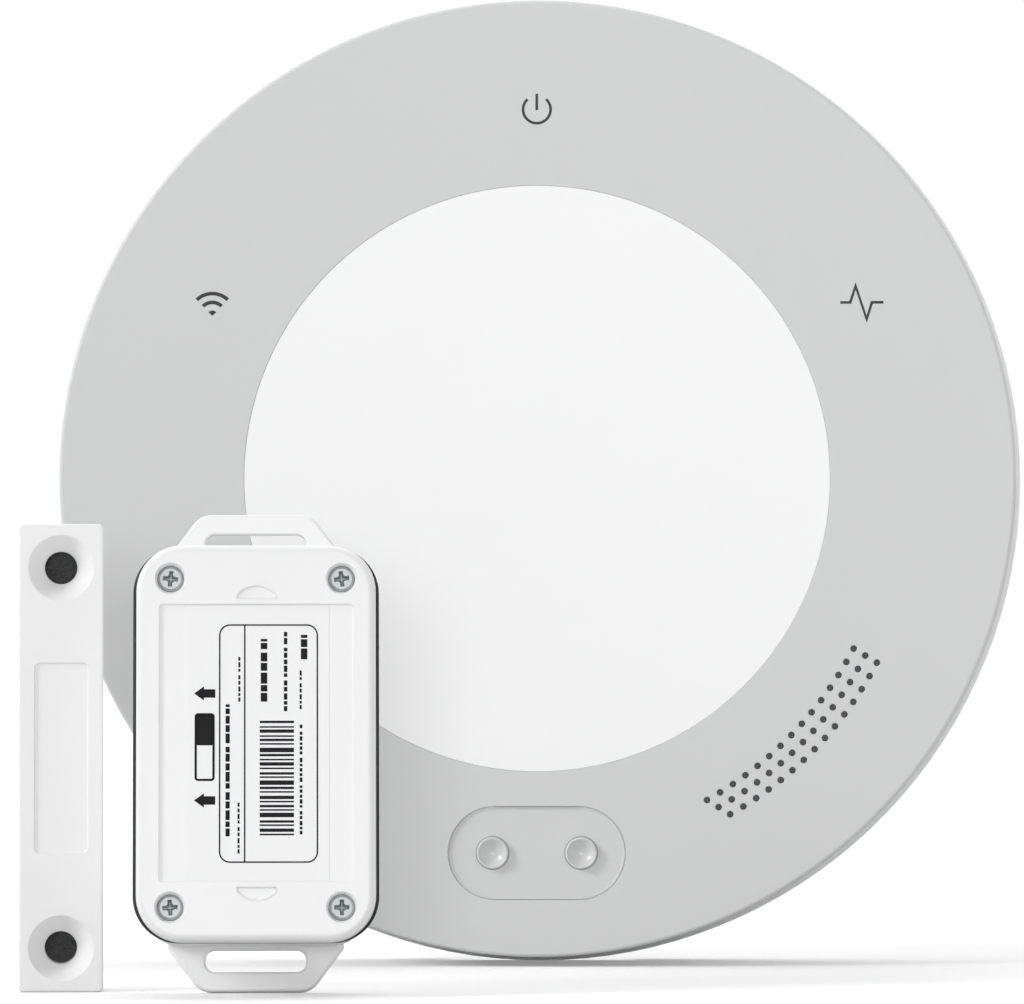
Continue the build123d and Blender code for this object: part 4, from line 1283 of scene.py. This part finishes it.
class GARAGE_OT_stage(bpy.types.Operator):
    """Set the floor, the soft light and the camera"""

    bl_idname = "garage.stage"
    bl_label = "Stage"

    def execute(self, context):
        studio = context.scene.studio
        scene = context.scene
        scene.view_settings.view_transform = "Standard"

        camera = bpy.data.objects.new("camera", bpy.data.cameras.new("camera"))
        scene.collection.objects.link(camera)
        camera.location = studio.camera
        sight = Vector(studio.target) - Vector(studio.camera)
        camera.rotation_euler = sight.to_track_quat("-Z", "Y").to_euler()
        camera.data.lens = studio.lens
        camera.data.sensor_width = 36
        camera.data.clip_start = 0.05
        camera.data.clip_end = 60
        scene.camera = camera

        floor = Shell()
        floor.cap(floor.loop([(-9000, -9000), (9000, -9000), (9000, 9000), (-9000, 9000)], 0))
        flat = Matrix.Translation((0, 0, (GROUND - 0.01) * MM)) @ Matrix.Scale(MM, 4)
        ground = floor.place("studio_floor", flat)
        paper = Finish("studio paper")
        fibre = paper.grain(3.0, 3.0)
        seen = paper.node("ShaderNodeLightPath", output="Is Camera Ray")
        tone = paper.blend(fibre, (0.62, 0.62, 0.62, 1), (0.64, 0.64, 0.64, 1))
        white = (studio.paper, studio.paper, studio.paper, 1)
        matt = paper.node(
            "ShaderNodeBsdfDiffuse", {}, {"Color": paper.blend(seen, tone, white)}
        )
        bright = paper.node(
            "ShaderNodeEmission", {}, {"Color": (1, 1, 1, 1), "Strength": 1.0}
        )
        both = paper.node("ShaderNodeMixShader", {}, {0: seen * studio.glow, 1: matt, 2: bright})
        paper.tree.links.new(both.socket, paper.output.inputs["Surface"])
        ground.data.materials.append(paper.material)

        world = bpy.data.worlds.new("studio air")
        scene.world = world
        world.use_nodes = True
        air = Finish.__new__(Finish)
        air.tree = world.node_tree
        air.tree.nodes.clear()
        output = air.tree.nodes.new("ShaderNodeOutputWorld")
        seen = air.node("ShaderNodeLightPath", output="Is Camera Ray")
        mirrored = air.node("ShaderNodeLightPath", output="Is Glossy Ray")
        through = air.node("ShaderNodeLightPath", output="Is Transmission Ray")
        white = air.node(
            "ShaderNodeMath", {"operation": "MAXIMUM"}, {0: seen, 1: mirrored * 0.85 + through}
        )
        strength = white * (1 - studio.sky) + studio.sky
        sky = air.node("ShaderNodeBackground", {}, {"Color": (1, 1, 1, 1), "Strength": strength})
        air.tree.links.new(sky.socket, output.inputs["Surface"])

        suns = (
            ("key", studio.key, (-1.0, -0.5, 0.55), 20),
            ("left_top", studio.top, (-0.8, 0.35, 1.0), 60),
            ("top", studio.top, (0.0, 0.35, 1.0), 60),
            ("right_top", studio.top, (0.8, 0.35, 1.0), 60),
            ("fill", studio.fill, (0.0, -1.0, 0.06), 16),
        )
        for name, strength, place, width in suns:
            light = bpy.data.lights.new(f"{name}_light", "SUN")
            light.energy = strength
            light.angle = radians(width)
            self.hang(light, place)
        panel = bpy.data.lights.new("side_light", "AREA")
        panel.energy = studio.side
        panel.size = 0.5
        self.hang(panel, (0.75, -0.6, 0.12))
        return {"FINISHED"}

    def hang(self, light, place):
        """Puts a lamp in its place, aimed at the middle of the round unit."""
        lamp = bpy.data.objects.new(light.name, light)
        bpy.context.scene.collection.objects.link(lamp)
        lamp.location = place
        lamp.rotation_euler = (-Vector(place)).to_track_quat("-Z", "Y").to_euler()


class GARAGE_PT_panel(bpy.types.Panel):
    """Lists the pieces of the garage door controller"""

    bl_idname = "GARAGE_PT_panel"
    bl_label = "Garage door controller"
    bl_space_type = "VIEW_3D"
    bl_region_type = "UI"
    bl_category = "Garage door"

    def draw(self, context):
        column = self.layout.column()
        for step in OPERATORS:
            column.operator(step.bl_idname)


OPERATORS = (
    GARAGE_OT_front_ring,
    GARAGE_OT_centre_cover,
    GARAGE_OT_speaker_cloth,
    GARAGE_OT_buttons,
    GARAGE_OT_signs,
    GARAGE_OT_round_unit_inside,
    GARAGE_OT_sensor_base,
    GARAGE_OT_sensor_seal,
    GARAGE_OT_sensor_lid,
    GARAGE_OT_sensor_screws,
    GARAGE_OT_sensor_label,
    GARAGE_OT_magnet_bar,
    GARAGE_OT_stage,
)
SETTINGS = {
    "round_unit": RoundUnitSettings,
    "door_sensor": SensorSettings,
    "magnet_bar": MagnetSettings,
    "studio": StudioSettings,
}


def register():
    for kind in (*SETTINGS.values(), *OPERATORS, GARAGE_PT_panel):
        bpy.utils.register_class(kind)
    for name, kind in SETTINGS.items():
        setattr(bpy.types.Scene, name, PointerProperty(type=kind))


def unregister():
    for name in SETTINGS:
        delattr(bpy.types.Scene, name)
    for kind in reversed((*SETTINGS.values(), *OPERATORS, GARAGE_PT_panel)):
        bpy.utils.unregister_class(kind)


def main():
    register()
    bpy.ops.garage.front_ring()
    bpy.ops.garage.centre_cover()
    bpy.ops.garage.speaker_cloth()
    bpy.ops.garage.buttons()
    bpy.ops.garage.signs()
    bpy.ops.garage.round_unit_inside()
    bpy.ops.garage.sensor_base()
    bpy.ops.garage.sensor_seal()
    bpy.ops.garage.sensor_lid()
    bpy.ops.garage.sensor_screws()
    bpy.ops.garage.sensor_label()
    bpy.ops.garage.magnet_bar()
    bpy.ops.garage.stage()


if __name__ == "__main__":
    main()
